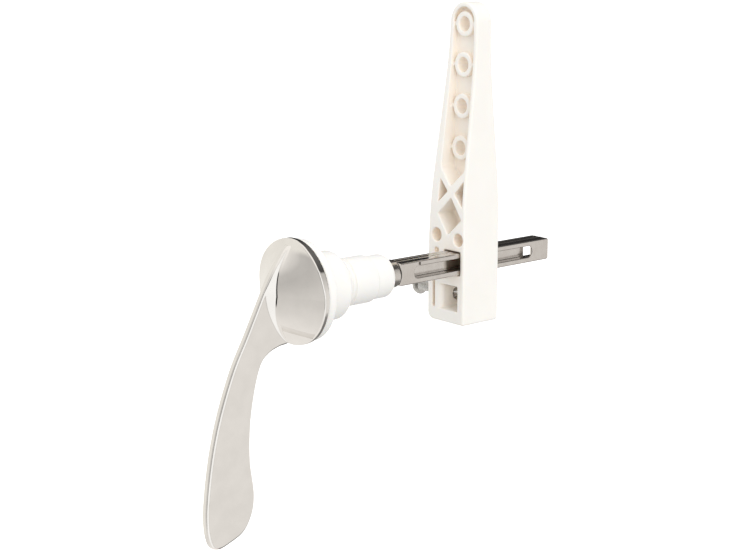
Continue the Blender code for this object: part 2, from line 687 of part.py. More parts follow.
def hub_cutters(cutters):
    """Everything that is cut out of the hub."""
    front = ARM_MID_Y - HUB_HALF_DEPTH - OVERCUT
    back = ARM_MID_Y + HUB_HALF_DEPTH + OVERCUT
    half_hole = HUB_HOLE_SIZE / 2
    shapes = [box("spindle_hole", (-half_hole, front, -half_hole), (half_hole, back, half_hole), cutters)]
    shapes.append(box("clamp_pocket", (CLAMP_POCKET_X[0], front, CLAMP_POCKET_Z[0]),
                      (CLAMP_POCKET_X[1], back, CLAMP_POCKET_Z[1]), cutters))
    for side_name, mouth_y, floor_y in (("front", front, ARM_MID_Y - CORE_FLOOR),
                                        ("back", back, ARM_MID_Y + CORE_FLOOR)):
        for name, (x, z, radius) in HUB_CORES.items():
            shapes.append(rod(name + "_" + side_name, (x, mouth_y, z), (x, floor_y, z), radius,
                              cutters, segments=28))
        low_y = min(mouth_y, floor_y)
        high_y = max(mouth_y, floor_y)
        shapes.append(box("hub_slit_" + side_name, (SLIT_X[0], low_y, SLIT_Z[0]),
                          (SLIT_X[1], high_y, SLIT_Z[1]), cutters))
    shapes.append(rod("screw_hole", (ARM_LEFT_X - OVERCUT, ARM_MID_Y, SCREW_Z),
                      (SCREW_HOLE_END_X, ARM_MID_Y, SCREW_Z), SCREW_RADIUS + CLEARANCE, cutters, segments=32))
    return shapes


# ------------------------------------------------------------------ clamp screw
def make_clamp_screw(collection, cutters, material):
    """Pan-head screw across the hub, below the spindle, shown wound out."""
    under_head_x = SCREW_TIP_X - SCREW_LENGTH
    tip = 0.7 * MM
    dome = 0.9 * MM
    profile = [(0.0, SCREW_LENGTH), (SCREW_RADIUS - tip, SCREW_LENGTH), (SCREW_RADIUS, SCREW_LENGTH - tip),
               (SCREW_RADIUS, 0.0), (SCREW_HEAD_RADIUS, 0.0), (SCREW_HEAD_RADIUS, dome - SCREW_HEAD_HEIGHT),
               (SCREW_HEAD_RADIUS - dome, -SCREW_HEAD_HEIGHT), (0.0, -SCREW_HEAD_HEIGHT)]
    screw = to_mesh_object(turned("clamp_screw", profile, collection, segments=32), material)
    recess_half = 0.55 * MM
    recess_reach = 2.3 * MM
    recess_depth = 1.7 * MM
    for name, half_u, half_v in (("recess_a", recess_reach, recess_half),
                                 ("recess_b", recess_half, recess_reach)):
        low = (-half_u, -SCREW_HEAD_HEIGHT - OVERCUT, -half_v)
        high = (half_u, recess_depth - SCREW_HEAD_HEIGHT, half_v)
        cut(screw, box(name, low, high, cutters))
    screw = to_mesh_object(screw, material)
    # The screw is turned along +Y and then laid along +X at its place in the hub.
    screw.location = (under_head_x, ARM_MID_Y, SCREW_Z)
    screw.rotation_euler = (0.0, 0.0, -math.pi / 2)
    return screw


def main():
    clear_scene()
    parts = make_collection("cistern_flush_lever")
    cutters = make_collection("cutters")

    chrome = make_material("chrome_plate", (0.78, 0.76, 0.74), 0.08, 1.0)
    nickel = make_material("nickel_plated_steel", (0.55, 0.53, 0.51), 0.25, 1.0)
    zinc = make_material("zinc_plated_steel", (0.62, 0.62, 0.60), 0.3, 1.0)
    white = make_material("white_acetal", (0.91, 0.91, 0.87), 0.35)
    cream = make_material("cream_plastic", (0.87, 0.82, 0.75), 0.45)
    soft = make_material("soft_washer", (0.80, 0.80, 0.78), 0.8)

    pieces = [
        make_lever_handle(parts, cutters, chrome),
        make_turning_shank(parts, cutters, nickel),
        make_cross_pin(parts, zinc),
        make_thrust_washer(parts, white),
        make_bush(parts, white),
        make_sealing_washer(parts, soft),
        make_backnut(parts, white),
        make_end_collar(parts, white),
        make_clip_washer(parts, white),
        make_retaining_clip(parts, zinc),
        make_spindle(parts, cutters, nickel),
        make_lift_arm(parts, cutters, cream),
        make_clamp_screw(parts, cutters, zinc),
    ]
    for piece in pieces:
        smooth_shade(piece)


main()
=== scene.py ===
"""Looks of the cistern flush lever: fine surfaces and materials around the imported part.

Metres, in the part's frame: the turning axis is Y, the wall seat lies in Y = 0.
Moulded and cast pieces are surfaces of signed distance fields, negative inside.
"""

import math

import bpy
import numpy as np
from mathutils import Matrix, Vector


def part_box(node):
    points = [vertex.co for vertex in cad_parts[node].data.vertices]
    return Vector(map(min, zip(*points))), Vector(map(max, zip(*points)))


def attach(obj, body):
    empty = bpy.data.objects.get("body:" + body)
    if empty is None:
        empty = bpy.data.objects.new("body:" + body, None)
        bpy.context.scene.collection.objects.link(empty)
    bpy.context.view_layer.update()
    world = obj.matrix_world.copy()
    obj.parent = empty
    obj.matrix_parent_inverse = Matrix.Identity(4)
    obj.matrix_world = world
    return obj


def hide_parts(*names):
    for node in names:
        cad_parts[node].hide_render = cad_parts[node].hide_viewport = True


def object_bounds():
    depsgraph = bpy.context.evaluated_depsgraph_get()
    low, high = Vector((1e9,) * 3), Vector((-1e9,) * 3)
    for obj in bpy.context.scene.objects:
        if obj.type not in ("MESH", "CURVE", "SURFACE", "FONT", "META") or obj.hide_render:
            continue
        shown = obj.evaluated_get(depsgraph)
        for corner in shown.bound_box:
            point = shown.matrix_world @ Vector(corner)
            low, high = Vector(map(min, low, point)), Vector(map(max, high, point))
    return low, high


MM = 0.001

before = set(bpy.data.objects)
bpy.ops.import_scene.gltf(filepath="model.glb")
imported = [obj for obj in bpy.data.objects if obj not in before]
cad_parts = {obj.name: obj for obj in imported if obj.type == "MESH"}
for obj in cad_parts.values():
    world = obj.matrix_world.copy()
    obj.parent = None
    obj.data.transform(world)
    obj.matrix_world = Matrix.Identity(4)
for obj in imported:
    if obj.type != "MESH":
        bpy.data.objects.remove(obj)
cad_low, cad_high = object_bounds()
part_centre = (Vector(cad_low) + Vector(cad_high)) / 2

# ------------------------ sizes, read off the frame
handle_low, handle_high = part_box("lever_handle")
bush_low, bush_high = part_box("bush")
nut_low, nut_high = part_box("backnut")
collar_low, collar_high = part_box("end_collar")
shank_low, shank_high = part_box("turning_shank")
spindle_low, spindle_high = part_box("spindle")
arm_low, arm_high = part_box("lift_arm")
screw_low, screw_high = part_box("clamp_screw")
washer_low, washer_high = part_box("sealing_washer")

GAP = 0.3 * MM                      # between neighbouring pieces
NUT_BORE = 9.4 * MM                 # of the backnut and the sealing washer
BUSH_BORE = 5.8 * MM                # of the bush and the end collar

# Mesh fineness
GRID = 1.0   # coarser surfaces while trying things
HANDLE_STEP = 0.42 * MM             # grid steps of the surfaces
SHANK_STEP = 0.4 * MM
SPINDLE_STEP = 0.18 * MM
ARM_STEP = 0.36 * MM
SCREW_STEP = 0.13 * MM
GRID_MARGIN = 2.5                   # grid steps added round a piece
NEWTON_STEPS = 3                    # moves of each vertex on to the exact surface
NEWTON_REACH = 0.02 * MM            # for the slope of a field at a vertex
LEAST_SLOPE = 0.05                  # squared; a flatter field is taken as this steep
MOST_MOVE = 0.5                     # grid steps in one move
NORMAL_REACH = 0.1 * MM             # for the shading normal at a vertex
TINY = 1e-9                         # keeps divisions away from zero
TURNED_STEPS = 128
ARC_STEPS = 5
NUT_ARC_STEPS = 8
SHARP_ANGLE = math.radians(40)

# Edge roundings that many pieces share
FINE_ROUND = 0.1 * MM
SMALL_ROUND = 0.2 * MM
EDGE_ROUND = 0.3 * MM
SOFT_ROUND = 0.4 * MM
BROAD_ROUND = 0.5 * MM

# Lever handle
HEAD_RADIUS = handle_high.x
HEAD_BACK_Y = bush_low.y - GAP
RIM_FRONT_Y = HEAD_BACK_Y - 2.0 * MM
RIM_SWELL = 1.0 * MM            # the rim is thickest halfway between the top and the sides
CREST_HEIGHT = 10.5 * MM
CREST_FILLET = 2.4 * MM
LEAST_FILLET = 0.2 * MM
FILLET_FADE = 0.5               # share that the fillet loses over each of these heights
FILLET_FADE_ABOVE = 16.0 * MM
FILLET_FADE_BELOW = 11.0 * MM
CREST_POWER_ABOVE = 1.35        # how soon the crest falls above and below the middle
CREST_POWER_BELOW = 0.7
DISH_POWER = 1.1
LEAST_DISH_WIDTH = 0.5 * MM
LEAST_LEVEL = 1e-6              # keeps roots and powers of the level real
FRONT_SCALE = 0.9               # brings the slope of the front's field close to one
RIM_ROUND = 0.4 * MM
BLADE_HALF_THICKNESS = 1.6 * MM
BLADE_ROUND = 1.0 * MM
HANDLE_BOSS_RADIUS = 7.2 * MM
HANDLE_SOCKET_RADIUS = 4.3 * MM
HANDLE_SOCKET_DEPTH = 11.4 * MM
BLADE_CURVE_STEPS = 6
BLADE_OUTLINE = (               # (Y, Z) in millimetres: outer edge, tip, inner edge, root
    (-8.2, 17.4), (-13.4, 11.9), (-18.4, 4.0), (-23.1, -4.9), (-27.6, -13.5),
    (-33.6, -24.6), (-39.6, -40.0), (-43.6, -55.0), (-46.1, -71.0), (-46.4, -81.0),
    (-44.7, -88.0), (-41.4, -89.8), (-37.0, -88.9),
    (-30.1, -85.7), (-26.2, -79.4), (-25.2, -71.6), (-26.7, -59.5), (-26.3, -46.0),
    (-24.2, -33.8), (-21.2, -24.6), (-17.5, -20.9), (-12.9, -19.2), (-8.4, -18.2),
    (-7.2, -13.0), (-7.0, -5.0), (-6.4, 5.0), (-5.8, 13.0),
)

# Bush
BARREL_RADIUS = 9.1 * MM
BARREL_THREAD_START_Y = 0.8 * MM
BARREL_THREAD_END_Y = 17.2 * MM
BARREL_PLAIN_Y = 17.5 * MM      # smooth from here to the collar
BARREL_PITCH = 2.0 * MM
BARREL_THREAD_DEPTH = 0.6 * MM
THREAD_FORM = (                 # one turn, as (share of the pitch, share of the depth)
    (0.0, 1.0), (0.2, 1.0), (0.45, 0.0), (0.7, 0.0),
)
NECK_RADIUS = 6.9 * MM
THRUST_RECESS_RADIUS = 11.9 * MM
THRUST_RECESS_DEPTH = 1.3 * MM
BOSS_BORE_RADIUS = 7.5 * MM     # room for the handle's boss
SEAT_RADIUS = 13.2 * MM         # the flange's back is relieved inside this
SEAT_RELIEF = 0.4 * MM
SEAT_STEP = 0.6 * MM            # plain barrel between the relief and the thread
SEAT_ROUND = 0.15 * MM
FLANGE_BACK_ROUND = 0.7 * MM
FLANGE_FRONT_ROUND = 1.3 * MM

# Backnut, end collar and sealing washer
NUT_REAR_ROUND = 1.9 * MM
COLLAR_REAR_ROUND = 1.7 * MM
COLLAR_POCKET_RADIUS = 7.2 * MM
COLLAR_END_THICKNESS = 2.4 * MM
WASHER_ROUND = 0.45 * MM

# Turning shank
CONE_SCALE = 0.7                # turns a 45 degree cone's field into a distance
SPIGOT_RADIUS = 4.0 * MM
TANG_OVERLAP = 1.0 * MM         # how far the square tang starts inside the round body
SHANK_ROUND = 0.15 * MM
CLIP_GROOVE_RADIUS = 4.5 * MM
CLIP_GROOVE_HALF_WIDTH = 0.7 * MM
CLIP_GROOVE_FROM_BUSH = 2.1 * MM

# Folded spindle
SPINDLE_HALF = spindle_high.x
SHEET = 0.8 * MM
SPINDLE_CORNER = 0.65 * MM
SPINDLE_END_ROUND = 1.0 * MM
SPINDLE_EDGE = 0.25 * MM
LINING_OVERLAP = 0.3 * MM       # how far the folded web runs into the tube's walls
WEB_START_OVERLAP = 0.2 * MM
GROOVE_END_FLAT = 0.1 * MM      # keeps the groove's round ends from meeting in a point
BACK_SLOT_ROUND = 0.6 * MM
GROOVE_HALF_HEIGHT = 2.35 * MM
GROOVE_START_Y = spindle_low.y + 7.4 * MM
GROOVE_END_Y = spindle_high.y - 9.1 * MM
WEB_END_Y = spindle_high.y - 10.6 * MM
BACK_SLOT_END_Y = spindle_high.y - 1.3 * MM
BACK_SLOT_BOTTOM_Z = -3.7 * MM
NOTCH_Y = spindle_low.y + 10.2 * MM
SEAM_LIPS_X = (-2.3 * MM, 0.6 * MM)
SEAM_LIP_HEIGHT = 0.12 * MM
SEAM_LIP_RADIUS = 0.3 * MM
SEAM_HALF_WIDTH = 0.16 * MM
NOTCH_HALF_WIDTH = 0.5 * MM
NOTCH_TOP_Z = 3.7 * MM
NOTCH_BOTTOM_Z = 0.6 * MM
TOP_PIPS = ((1.1 * MM, 63.7 * MM), (1.3 * MM, 69.1 * MM))
PIP_RADIUS = 0.5 * MM

# Lift arm
ARM_MID_Y = (arm_low.y + arm_high.y) / 2
ARM_LEFT_X = arm_low.x
ARM_RIGHT_X = arm_high.x
ARM_BOTTOM_Z = arm_low.z
HUB_HALF_DEPTH = (arm_high.y - arm_low.y) / 2
TIP_HALF_DEPTH = 3.9 * MM
TAPER_START_Z = 25.5 * MM
TAPER_END_Z = 80.0 * MM
TAPER_BEND = 8.0 * MM
WAIST_Z = 10.0 * MM
WAIST_BEND = 6.0 * MM
FOOT_LEFT_ROUND = 3.0 * MM
FOOT_RIGHT_ROUND = 1.0 * MM
ARM_EDGE_ROUND = 0.9 * MM
TIP_LEFT_X = -8.3 * MM
TIP_RADIUS = (ARM_RIGHT_X - TIP_LEFT_X) / 2
TIP_CENTRE = (ARM_RIGHT_X - TIP_RADIUS, arm_high.z - TIP_RADIUS)
TIP_WALL = 1.9 * MM
INNER_LEFT_X = -8.6 * MM
INNER_RIGHT_X = 5.2 * MM
WEB_HALF = 1.0 * MM
POCKET_FLOOR_ROUND = 0.6 * MM
POCKET_EDGE_ROUND = 0.45 * MM
CHANNEL_ROUND = 0.9 * MM
CHANNEL_FOOT_UP = 1.4 * MM      # the channel's lower corners, up from the crossing of the ribs
CHANNEL_RIGHT_UP = 7.9 * MM
CHANNEL_LEFT_UP = 8.6 * MM
CHANNEL_LEFT_IN = 0.5 * MM
CHANNEL_OPEN_TOP = 40.0 * MM    # far above the tip, where the round end takes over
BOSS_RADIUS = 4.85 * MM
BOSS_HALF_LENGTH = 3.5 * MM
BOSS_EDGE_ROUND = 0.55 * MM
BOSS_FOOT_ROUND = 0.35 * MM
BOSS_RIB_HALF = 0.6 * MM        # ribs from each boss to the arm's sides
BOSS_RIB_SET_BACK = 0.35 * MM
BOSS_RIB_END = 1.0 * MM         # how far a rib stops short of the arm's side
LINK_HOLE_RADIUS = 2.85 * MM
LINK_HOLE_HEIGHTS = (92.8 * MM, 77.2 * MM, 61.1 * MM, 44.7 * MM)
LATTICE_CENTRE = (-2.0 * MM, 28.7 * MM)
LATTICE_POCKETS = (             # corner rounding, then corners as (side, offset from it, height), mm
    (0.45, (("left", 0.0, -5.4), ("middle", -1.5, -0.7), ("left", 0.6, 4.0))),
    (0.45, (("right", 0.0, -6.4), ("right", 0.0, 4.0), ("middle", 2.4, -1.4))),
    (0.5, (("middle", -0.6, -18.0), ("right", -0.4, -11.2), ("middle", 0.7, -3.0),
           ("left", 0.2, -9.9))),
)
HOLE_SLACK = 0.25 * MM
HUB_HOLE_HALF = SPINDLE_HALF + HOLE_SLACK
HUB_CORES = (                   # (X, Z, radius, floor from the arm's middle), mm
    (-9.0, 10.1, 2.75, 5.0), (3.35, 9.4, 2.6, 5.0), (-8.9, 3.6, 1.45, 7.6),
)
HUB_SLIT_CENTRE = (-10.5 * MM, -12.2 * MM)
HUB_SLIT_HALF = (0.75 * MM, 7.2 * MM)
HUB_SLIT_ROUND = 0.7 * MM
HUB_SLIT_FLOOR = 5.0 * MM
CLAMP_POCKET_LEFT_X = -6.4 * MM
CLAMP_POCKET_RIGHT_X = 3.3 * MM
CLAMP_POCKET_Z = -14.4 * MM
CLAMP_POCKET_HALF = 5.1 * MM
CLAMP_POCKET_ROUND = 0.6 * MM
CLAMP_FLARE_RADIUS = 2.6 * MM   # the pocket's left wall curves out at its mouth
SCREW_HOLE_END_X = 6.0 * MM

# Clamp screw
SCREW_Z = (screw_low.z + screw_high.z) / 2
SCREW_TIP_X = screw_high.x
SCREW_RADIUS = 2.5 * MM
SCREW_PITCH = 0.8 * MM
THREAD_DEPTH = 0.45 * MM
SCREW_HEAD_HEIGHT = 3.0 * MM
SCREW_HEAD_RADIUS = (screw_high.z - screw_low.z) / 2
SCREW_SHOULDER_X = screw_low.x + SCREW_HEAD_HEIGHT
SCREW_HEAD_OVERLAP = 0.5 * MM   # how far the shaft runs into the head
SCREW_FLANK_SLOPE = 1.25        # flattens the thread's crest and root
SCREW_FLANK_SHIFT = 0.1
THREAD_SCALE = 0.75             # these two bring the slopes of their fields near one
TAPER_SCALE = 0.7
POINT_TAPER = 0.9
POINT_TAPER_LENGTH = 0.7 * MM
POINT_CUP_RADIUS = 1.7 * MM
DOME_RADIUS = 6.2 * MM
DOME_EDGE_ROUND = 0.6 * MM
SCREW_HEAD_ROUND = 0.35 * MM
RECESS_HALF_LENGTH = 2.2 * MM
RECESS_HALF_WIDTH = 0.45 * MM
RECESS_DEPTH = 1.7 * MM
RECESS_TAPER = 0.5              # the recess gets shallower away from its middle
RECESS_ROUND = 0.15 * MM

# Materials
TINT_RANGE = (0.35, 0.65)       # part of a noise over which a tint or a roughness drifts
ROUGHNESS_RANGE = (0.3, 0.7)
PLASTIC_IOR = 1.5
PLASTIC_SCATTER = 0.12
PLASTIC_SCATTER_RADIUS = (1.2, 0.9, 0.6)
PLASTIC_SCATTER_SCALE = 1.2 * MM
SHADE_REACH = 9.0 * MM         # painted shade: walls closer than this tint a recess warmer and darker
SHADE_SAMPLES = 8

# Floor, lights and camera
FLOOR_HALF = 8.0
FLOOR_DROP = 0.16               # below the part
FLOOR_GREY = 0.93
FLOOR_GLOW = 0.45
LAMP_DISTANCE = 1.2
CAMERA_AZIMUTH = math.radians(49.56)
CAMERA_ELEVATION = math.radians(12.24)
CAMERA_DISTANCE = 580.9 * MM
CAMERA_AIM = part_centre + Vector((23.3, -19.9, 0.0)) * MM
SENSOR_WIDTH = 36.0
LENS = 76.8
NEAR_CLIP = 0.01

# Grey of the painted studio at each height of the direction, from -1, straight down, to 1
FRONT_STUDIO = (
    (-1.0, 1.0), (-0.75, 0.92), (-0.5, 0.80), (-0.2, 0.70), (0.05, 0.62), (0.25, 0.58),
    (0.45, 0.62), (0.6, 0.8), (0.8, 1.1),
)
BACK_STUDIO = (
    (-1.0, 0.5), (-0.8, 0.2), (-0.65, 0.3), (-0.5, 0.8), (-0.3, 0.88), (-0.08, 0.88),
    (-0.02, 0.02), (0.45, 0.03), (0.75, 0.14), (1.0, 0.25),
)
BACK_RIGHT_STUDIO = ((-1.0, 0.8), (-0.6, 0.85), (-0.3, 0.88), (0.0, 0.86), (0.4, 0.62), (1.0, 0.5))
PLAIN_SURROUND = ((-1.0, 0.71), (1.0, 1.10))
PLAIN_WARMTH = 0.3
WARM_GREEN_LOSS = 0.035         # what a warm grey loses in green and in blue
WARM_BLUE_LOSS = 0.08
WHITE_LIGHT = (1.1, 1.09, 1.07, 1.0)
BEIGE_LIGHT = (0.94, 0.91, 0.85, 1.0)
BLACK_LIGHT = (0.02, 0.018, 0.016, 1.0)


# ------------------------ distance fields
def round_join(a, b, radius):
    """Union of two fields, with a hollow fillet between them."""
    u = np.maximum(radius - a, 0.0)
    v = np.maximum(radius - b, 0.0)
    return np.maximum(radius, np.minimum(a, b)) - np.sqrt(u * u + v * v)


def round_meet(a, b, radius):
    """Intersection of two fields, with a rounded edge."""
    return -round_join(-a, -b, radius)


def round_cut(a, b, radius):
    """Field a with field b cut out, with a rounded edge."""
    return round_meet(a, -b, radius)


def rectangle(u, v, half_u, half_v, radius):
    """Distance to a rectangle with round corners, centred on the origin."""
    du = np.abs(u) - half_u + radius
    dv = np.abs(v) - half_v + radius
    outside = np.sqrt(np.maximum(du, 0.0) ** 2 + np.maximum(dv, 0.0) ** 2)
    return outside + np.minimum(np.maximum(du, dv), 0.0) - radius


def beside_line(u, v, start, end):
    """Distance from a line, positive on the right of its direction."""
    along_u = end[0] - start[0]
    along_v = end[1] - start[1]
    length = math.hypot(along_u, along_v)
    return ((u - start[0]) * along_v - (v - start[1]) * along_u) / length


def rounded_convex(u, v, corners, radius):
    """Distance to a convex outline, corners anticlockwise, with round corners."""
    field = None
    for start, end in zip(corners, corners[1:] + corners[:1]):
        side = beside_line(u, v, start, end)
        field = side if field is None else round_meet(field, side, radius)
    return field


def outline_distance(u, v, points):
    """Signed distance to any closed outline."""
    shape = np.broadcast(u, v).shape
    nearest = np.full(shape, np.inf)
    inside = np.zeros(shape, bool)
    for (au, av), (bu, bv) in zip(points, points[1:] + points[:1]):
        along_u = bu - au
        along_v = bv - av
        share = ((u - au) * along_u + (v - av) * along_v) / (along_u ** 2 + along_v ** 2)
        share = np.clip(share, 0.0, 1.0)
        gap_squared = (u - au - share * along_u) ** 2 + (v - av - share * along_v) ** 2
        nearest = np.minimum(nearest, gap_squared)
        if along_v != 0.0:
            inside ^= ((av > v) != (bv > v)) & (u < au + (v - av) * along_u / along_v)
    return np.where(inside, -1.0, 1.0) * np.sqrt(nearest)


def spline(points, steps):
    """Points of a smooth closed curve through the given ones."""
    curve = []
    count = len(points)
    for i in range(count):
        a, b, c, d = (np.array(points[(i + k - 1) % count]) for k in range(4))
        for j in range(steps):
            t = j / steps
            point = 0.5 * (2 * b + (c - a) * t + (2 * a - 5 * b + 4 * c - d) * t ** 2
                           + (3 * b - a - 3 * c + d) * t ** 3)
            curve.append((float(point[0]), float(point[1])))
    return curve


def soft_ramp(t, softness):
    """Zero for low t and t for high t, with a smooth bend."""
    return 0.5 * (t + np.sqrt(t * t + softness * softness))


# ------------------------ fields to meshes
def surface_net(field, low, high, step):
    """Vertices and quads of a field's zero surface, one vertex to a grid cell."""
    axes = [np.arange(low[k], high[k] + step, step) for k in range(3)]
    value = field(axes[0][:, None, None], axes[1][None, :, None], axes[2][None, None, :])
    value = np.broadcast_to(value, tuple(len(a) for a in axes))
    cells = tuple(n - 1 for n in value.shape)
    total = np.zeros(cells + (3,))
    count = np.zeros(cells)

    def corner(offset):
        return value[tuple(slice(o, o + n) for o, n in zip(offset, cells))]

    for k in range(3):
        others = [m for m in range(3) if m != k]
        for a in (0, 1):
            for b in (0, 1):
                start = [0, 0, 0]
                start[others[0]] = a
                start[others[1]] = b
                end = list(start)
                end[k] = 1
                first = corner(start)
                second = corner(end)
                crossing = (first < 0.0) != (second < 0.0)
                share = first[crossing] / (first[crossing] - second[crossing])
                point = np.tile(np.array(start, float), (len(share), 1))
                point[:, k] = share
                total[crossing] += point
                count[crossing] += 1
    active = count > 0
    index = np.full(cells, -1)
    index[active] = np.arange(active.sum())
    vertices = np.argwhere(active) + total[active] / count[active][:, None]
    vertices = np.array([a[0] for a in axes]) + vertices * step

    quads = []
    for k in range(3):
        p, q = [(1, 2), (2, 0), (0, 1)][k]
        inner = [slice(1, n - 1) for n in value.shape]
        inner[k] = slice(0, value.shape[k] - 1)
        here = value[tuple(inner)]
        shifted = list(inner)
        shifted[k] = slice(1, value.shape[k])
        there = value[tuple(shifted)]
        for rising in (True, False):
            crossing = (here < 0.0) & (there >= 0.0) if rising else (here >= 0.0) & (there < 0.0)
            base = np.argwhere(crossing)
            base[:, p] += 1
            base[:, q] += 1
            ring = []
            for dp, dq in ((-1, -1), (0, -1), (0, 0), (-1, 0)):
                cell = base.copy()
                cell[:, p] += dp
                cell[:, q] += dq
                ring.append(index[cell[:, 0], cell[:, 1], cell[:, 2]])
            if not rising:
                ring.reverse()
            quads.append(np.stack(ring, axis=1))
    return vertices, np.concatenate(quads)


def gradient(field, points, reach):
    """Gradient of a field at points, by central differences."""
    columns = []
    for k in range(3):
        ahead = points.copy()
        behind = points.copy()
        ahead[:, k] += reach
        behind[:, k] -= reach
        columns.append((field(*ahead.T) - field(*behind.T)) / (2 * reach))
    return np.stack(columns, axis=1)


def field_object(name, field, low, high, step, material):
    """Object with a field's zero surface as its mesh, and the field's own normals."""
    step *= GRID
    margin = np.full(3, GRID_MARGIN * step)
    vertices, quads = surface_net(field, np.array(low) - margin, np.array(high) + margin, step)
    for _ in range(NEWTON_STEPS):
        slope = gradient(field, vertices, NEWTON_REACH)
        size = np.maximum((slope ** 2).sum(axis=1), LEAST_SLOPE)
        move = slope * (field(*vertices.T) / size)[:, None]
        length = np.sqrt((move ** 2).sum(axis=1))
        share = np.minimum(1.0, MOST_MOVE * step / np.maximum(length, TINY))
        vertices = vertices - move * share[:, None]
    normals = gradient(field, vertices, NORMAL_REACH)
    normals /= np.maximum(np.linalg.norm(normals, axis=1), TINY)[:, None]
    mesh = bpy.data.meshes.new(name)
    mesh.from_pydata(vertices.tolist(), [], quads.tolist())
    mesh.shade_smooth()
    mesh.normals_split_custom_set_from_vertices(normals.tolist())
    return add_piece(name, mesh, material)


def add_piece(name, mesh, material):
    """Link a mesh to the scene as an object with one material."""
    mesh.materials.append(material)
    piece = bpy.data.objects.new(name, mesh)
    bpy.context.scene.collection.objects.link(piece)
    return piece


# ------------------------ turned pieces
def rounded_profile(corners, steps=ARC_STEPS):
    """Closed (radius, Y) profile with each (radius, Y, rounding) corner as an arc."""
    profile = []
    count = len(corners)
    for i in range(count):
        here = np.array(corners[i][:2])
        rounding = corners[i][2]
        if rounding == 0.0:
            profile.append(tuple(here))
            continue
        before = np.array(corners[i - 1][:2]) - here
        after = np.array(corners[(i + 1) % count][:2]) - here
        before /= np.linalg.norm(before)
        after /= np.linalg.norm(after)
        half = math.acos(np.clip(before @ after, -1.0, 1.0)) / 2
        reach = rounding / math.tan(half)
        middle = (before + after) / np.linalg.norm(before + after)
        centre = here + middle * rounding / math.sin(half)
        first = here + before * reach - centre
        last = here + after * reach - centre
        turn = math.atan2(first[0] * last[1] - first[1] * last[0], first @ last)
        for j in range(steps + 1):
            angle = turn * j / steps
            c = math.cos(angle)
            s = math.sin(angle)
            radius = centre[0] + c * first[0] - s * first[1]
            along = centre[1] + s * first[0] + c * first[1]
            profile.append((radius, along))
    return profile


def turned_object(name, profile, material):
    """Turn a closed profile about the Y axis. The profile runs out, towards -Y, and back."""
    radii = np.array([p[0] for p in profile])
    along = np.array([p[1] for p in profile])
    angles = 2 * math.pi * np.arange(TURNED_STEPS) / TURNED_STEPS
    vertices = np.stack([np.outer(np.cos(angles), radii), np.tile(along, (TURNED_STEPS, 1)),
                         np.outer(np.sin(angles), radii)], axis=-1).reshape(-1, 3)
    count = len(profile)
    faces = []
    for i in range(TURNED_STEPS):
        here = i * count
        there = ((i + 1) % TURNED_STEPS) * count
        for j in range(count):
            k = (j + 1) % count
            faces.append((here + j, here + k, there + k, there + j))
    mesh = bpy.data.meshes.new(name)
    mesh.from_pydata(vertices.tolist(), [], faces)
    mesh.shade_smooth()
    mesh.set_sharp_from_angle(angle=SHARP_ANGLE)
    return add_piece(name, mesh, material)


# ------------------------ materials
def add_node(tree, kind, **values):
    """Add a shader node, with its named properties and input values set."""
    node = tree.nodes.new(kind)
    for key, value in values.items():
        if key in node.inputs:
            node.inputs[key].default_value = value
        else:
            setattr(node, key, value)
    return node


def principled(name, roughness, metallic):
    """New material; returns it with its node tree and its shader."""
    material = bpy.data.materials.new(name)
    material.use_nodes = True
    tree = material.node_tree
    shader = tree.nodes["Principled BSDF"]
    shader.inputs["Roughness"].default_value = roughness
    shader.inputs["Metallic"].default_value = metallic
    return material, tree, shader


def noise(tree, scale, detail, stretch=(1.0, 1.0, 1.0)):
    """Noise texture in the piece's own coordinates. The scale is features to a metre."""
    place = add_node(tree, "ShaderNodeTexCoord")
    mapping = add_node(tree, "ShaderNodeMapping")
    mapping.inputs["Scale"].default_value = stretch
    texture = add_node(tree, "ShaderNodeTexNoise", Scale=scale, Detail=detail)
    tree.links.new(place.outputs["Object"], mapping.inputs["Vector"])
    tree.links.new(mapping.outputs["Vector"], texture.inputs["Vector"])
    return texture.outputs["Fac"]


def tint(tree, shader, factor, dark, light):
    """Base colour that drifts between two tints with a factor."""
    ramp = add_node(tree, "ShaderNodeValToRGB")
    for element, position, colour in zip(ramp.color_ramp.elements, TINT_RANGE, (dark, light)):
        element.position = position
        element.color = (*colour, 1.0)
    tree.links.new(factor, ramp.inputs["Fac"])
    tree.links.new(ramp.outputs["Color"], shader.inputs["Base Color"])
    return ramp.outputs["Color"]


def vary_roughness(tree, shader, factor, smooth, rough):
    """Roughness that drifts between two values with a factor."""
    spread = add_node(tree, "ShaderNodeMapRange")
    spread.inputs["From Min"].default_value = ROUGHNESS_RANGE[0]
    spread.inputs["From Max"].default_value = ROUGHNESS_RANGE[1]
    spread.inputs["To Min"].default_value = smooth
    spread.inputs["To Max"].default_value = rough
    tree.links.new(factor, spread.inputs["Value"])
    tree.links.new(spread.outputs["Result"], shader.inputs["Roughness"])


def bump(tree, shader, height, distance, strength):
    """Fine relief from a height between 0 and 1."""
    relief = add_node(tree, "ShaderNodeBump", Strength=strength, Distance=distance)
    tree.links.new(height, relief.inputs["Height"])
    tree.links.new(relief.outputs["Normal"], shader.inputs["Normal"])


def make_chrome():
    """Bright plating on a polished casting: faint haze and the slightest waviness."""
    material, tree, shader = principled("chrome_plate_fine", roughness=0.05, metallic=1.0)
    haze = noise(tree, scale=160.0, detail=4.0)
    waves = noise(tree, scale=90.0, detail=1.0)
    tint(tree, shader, haze, dark=(0.80, 0.785, 0.765), light=(0.84, 0.825, 0.805))
    vary_roughness(tree, shader, haze, smooth=0.03, rough=0.075)
    bump(tree, shader, waves, distance=0.02 * MM, strength=0.35)
    return material


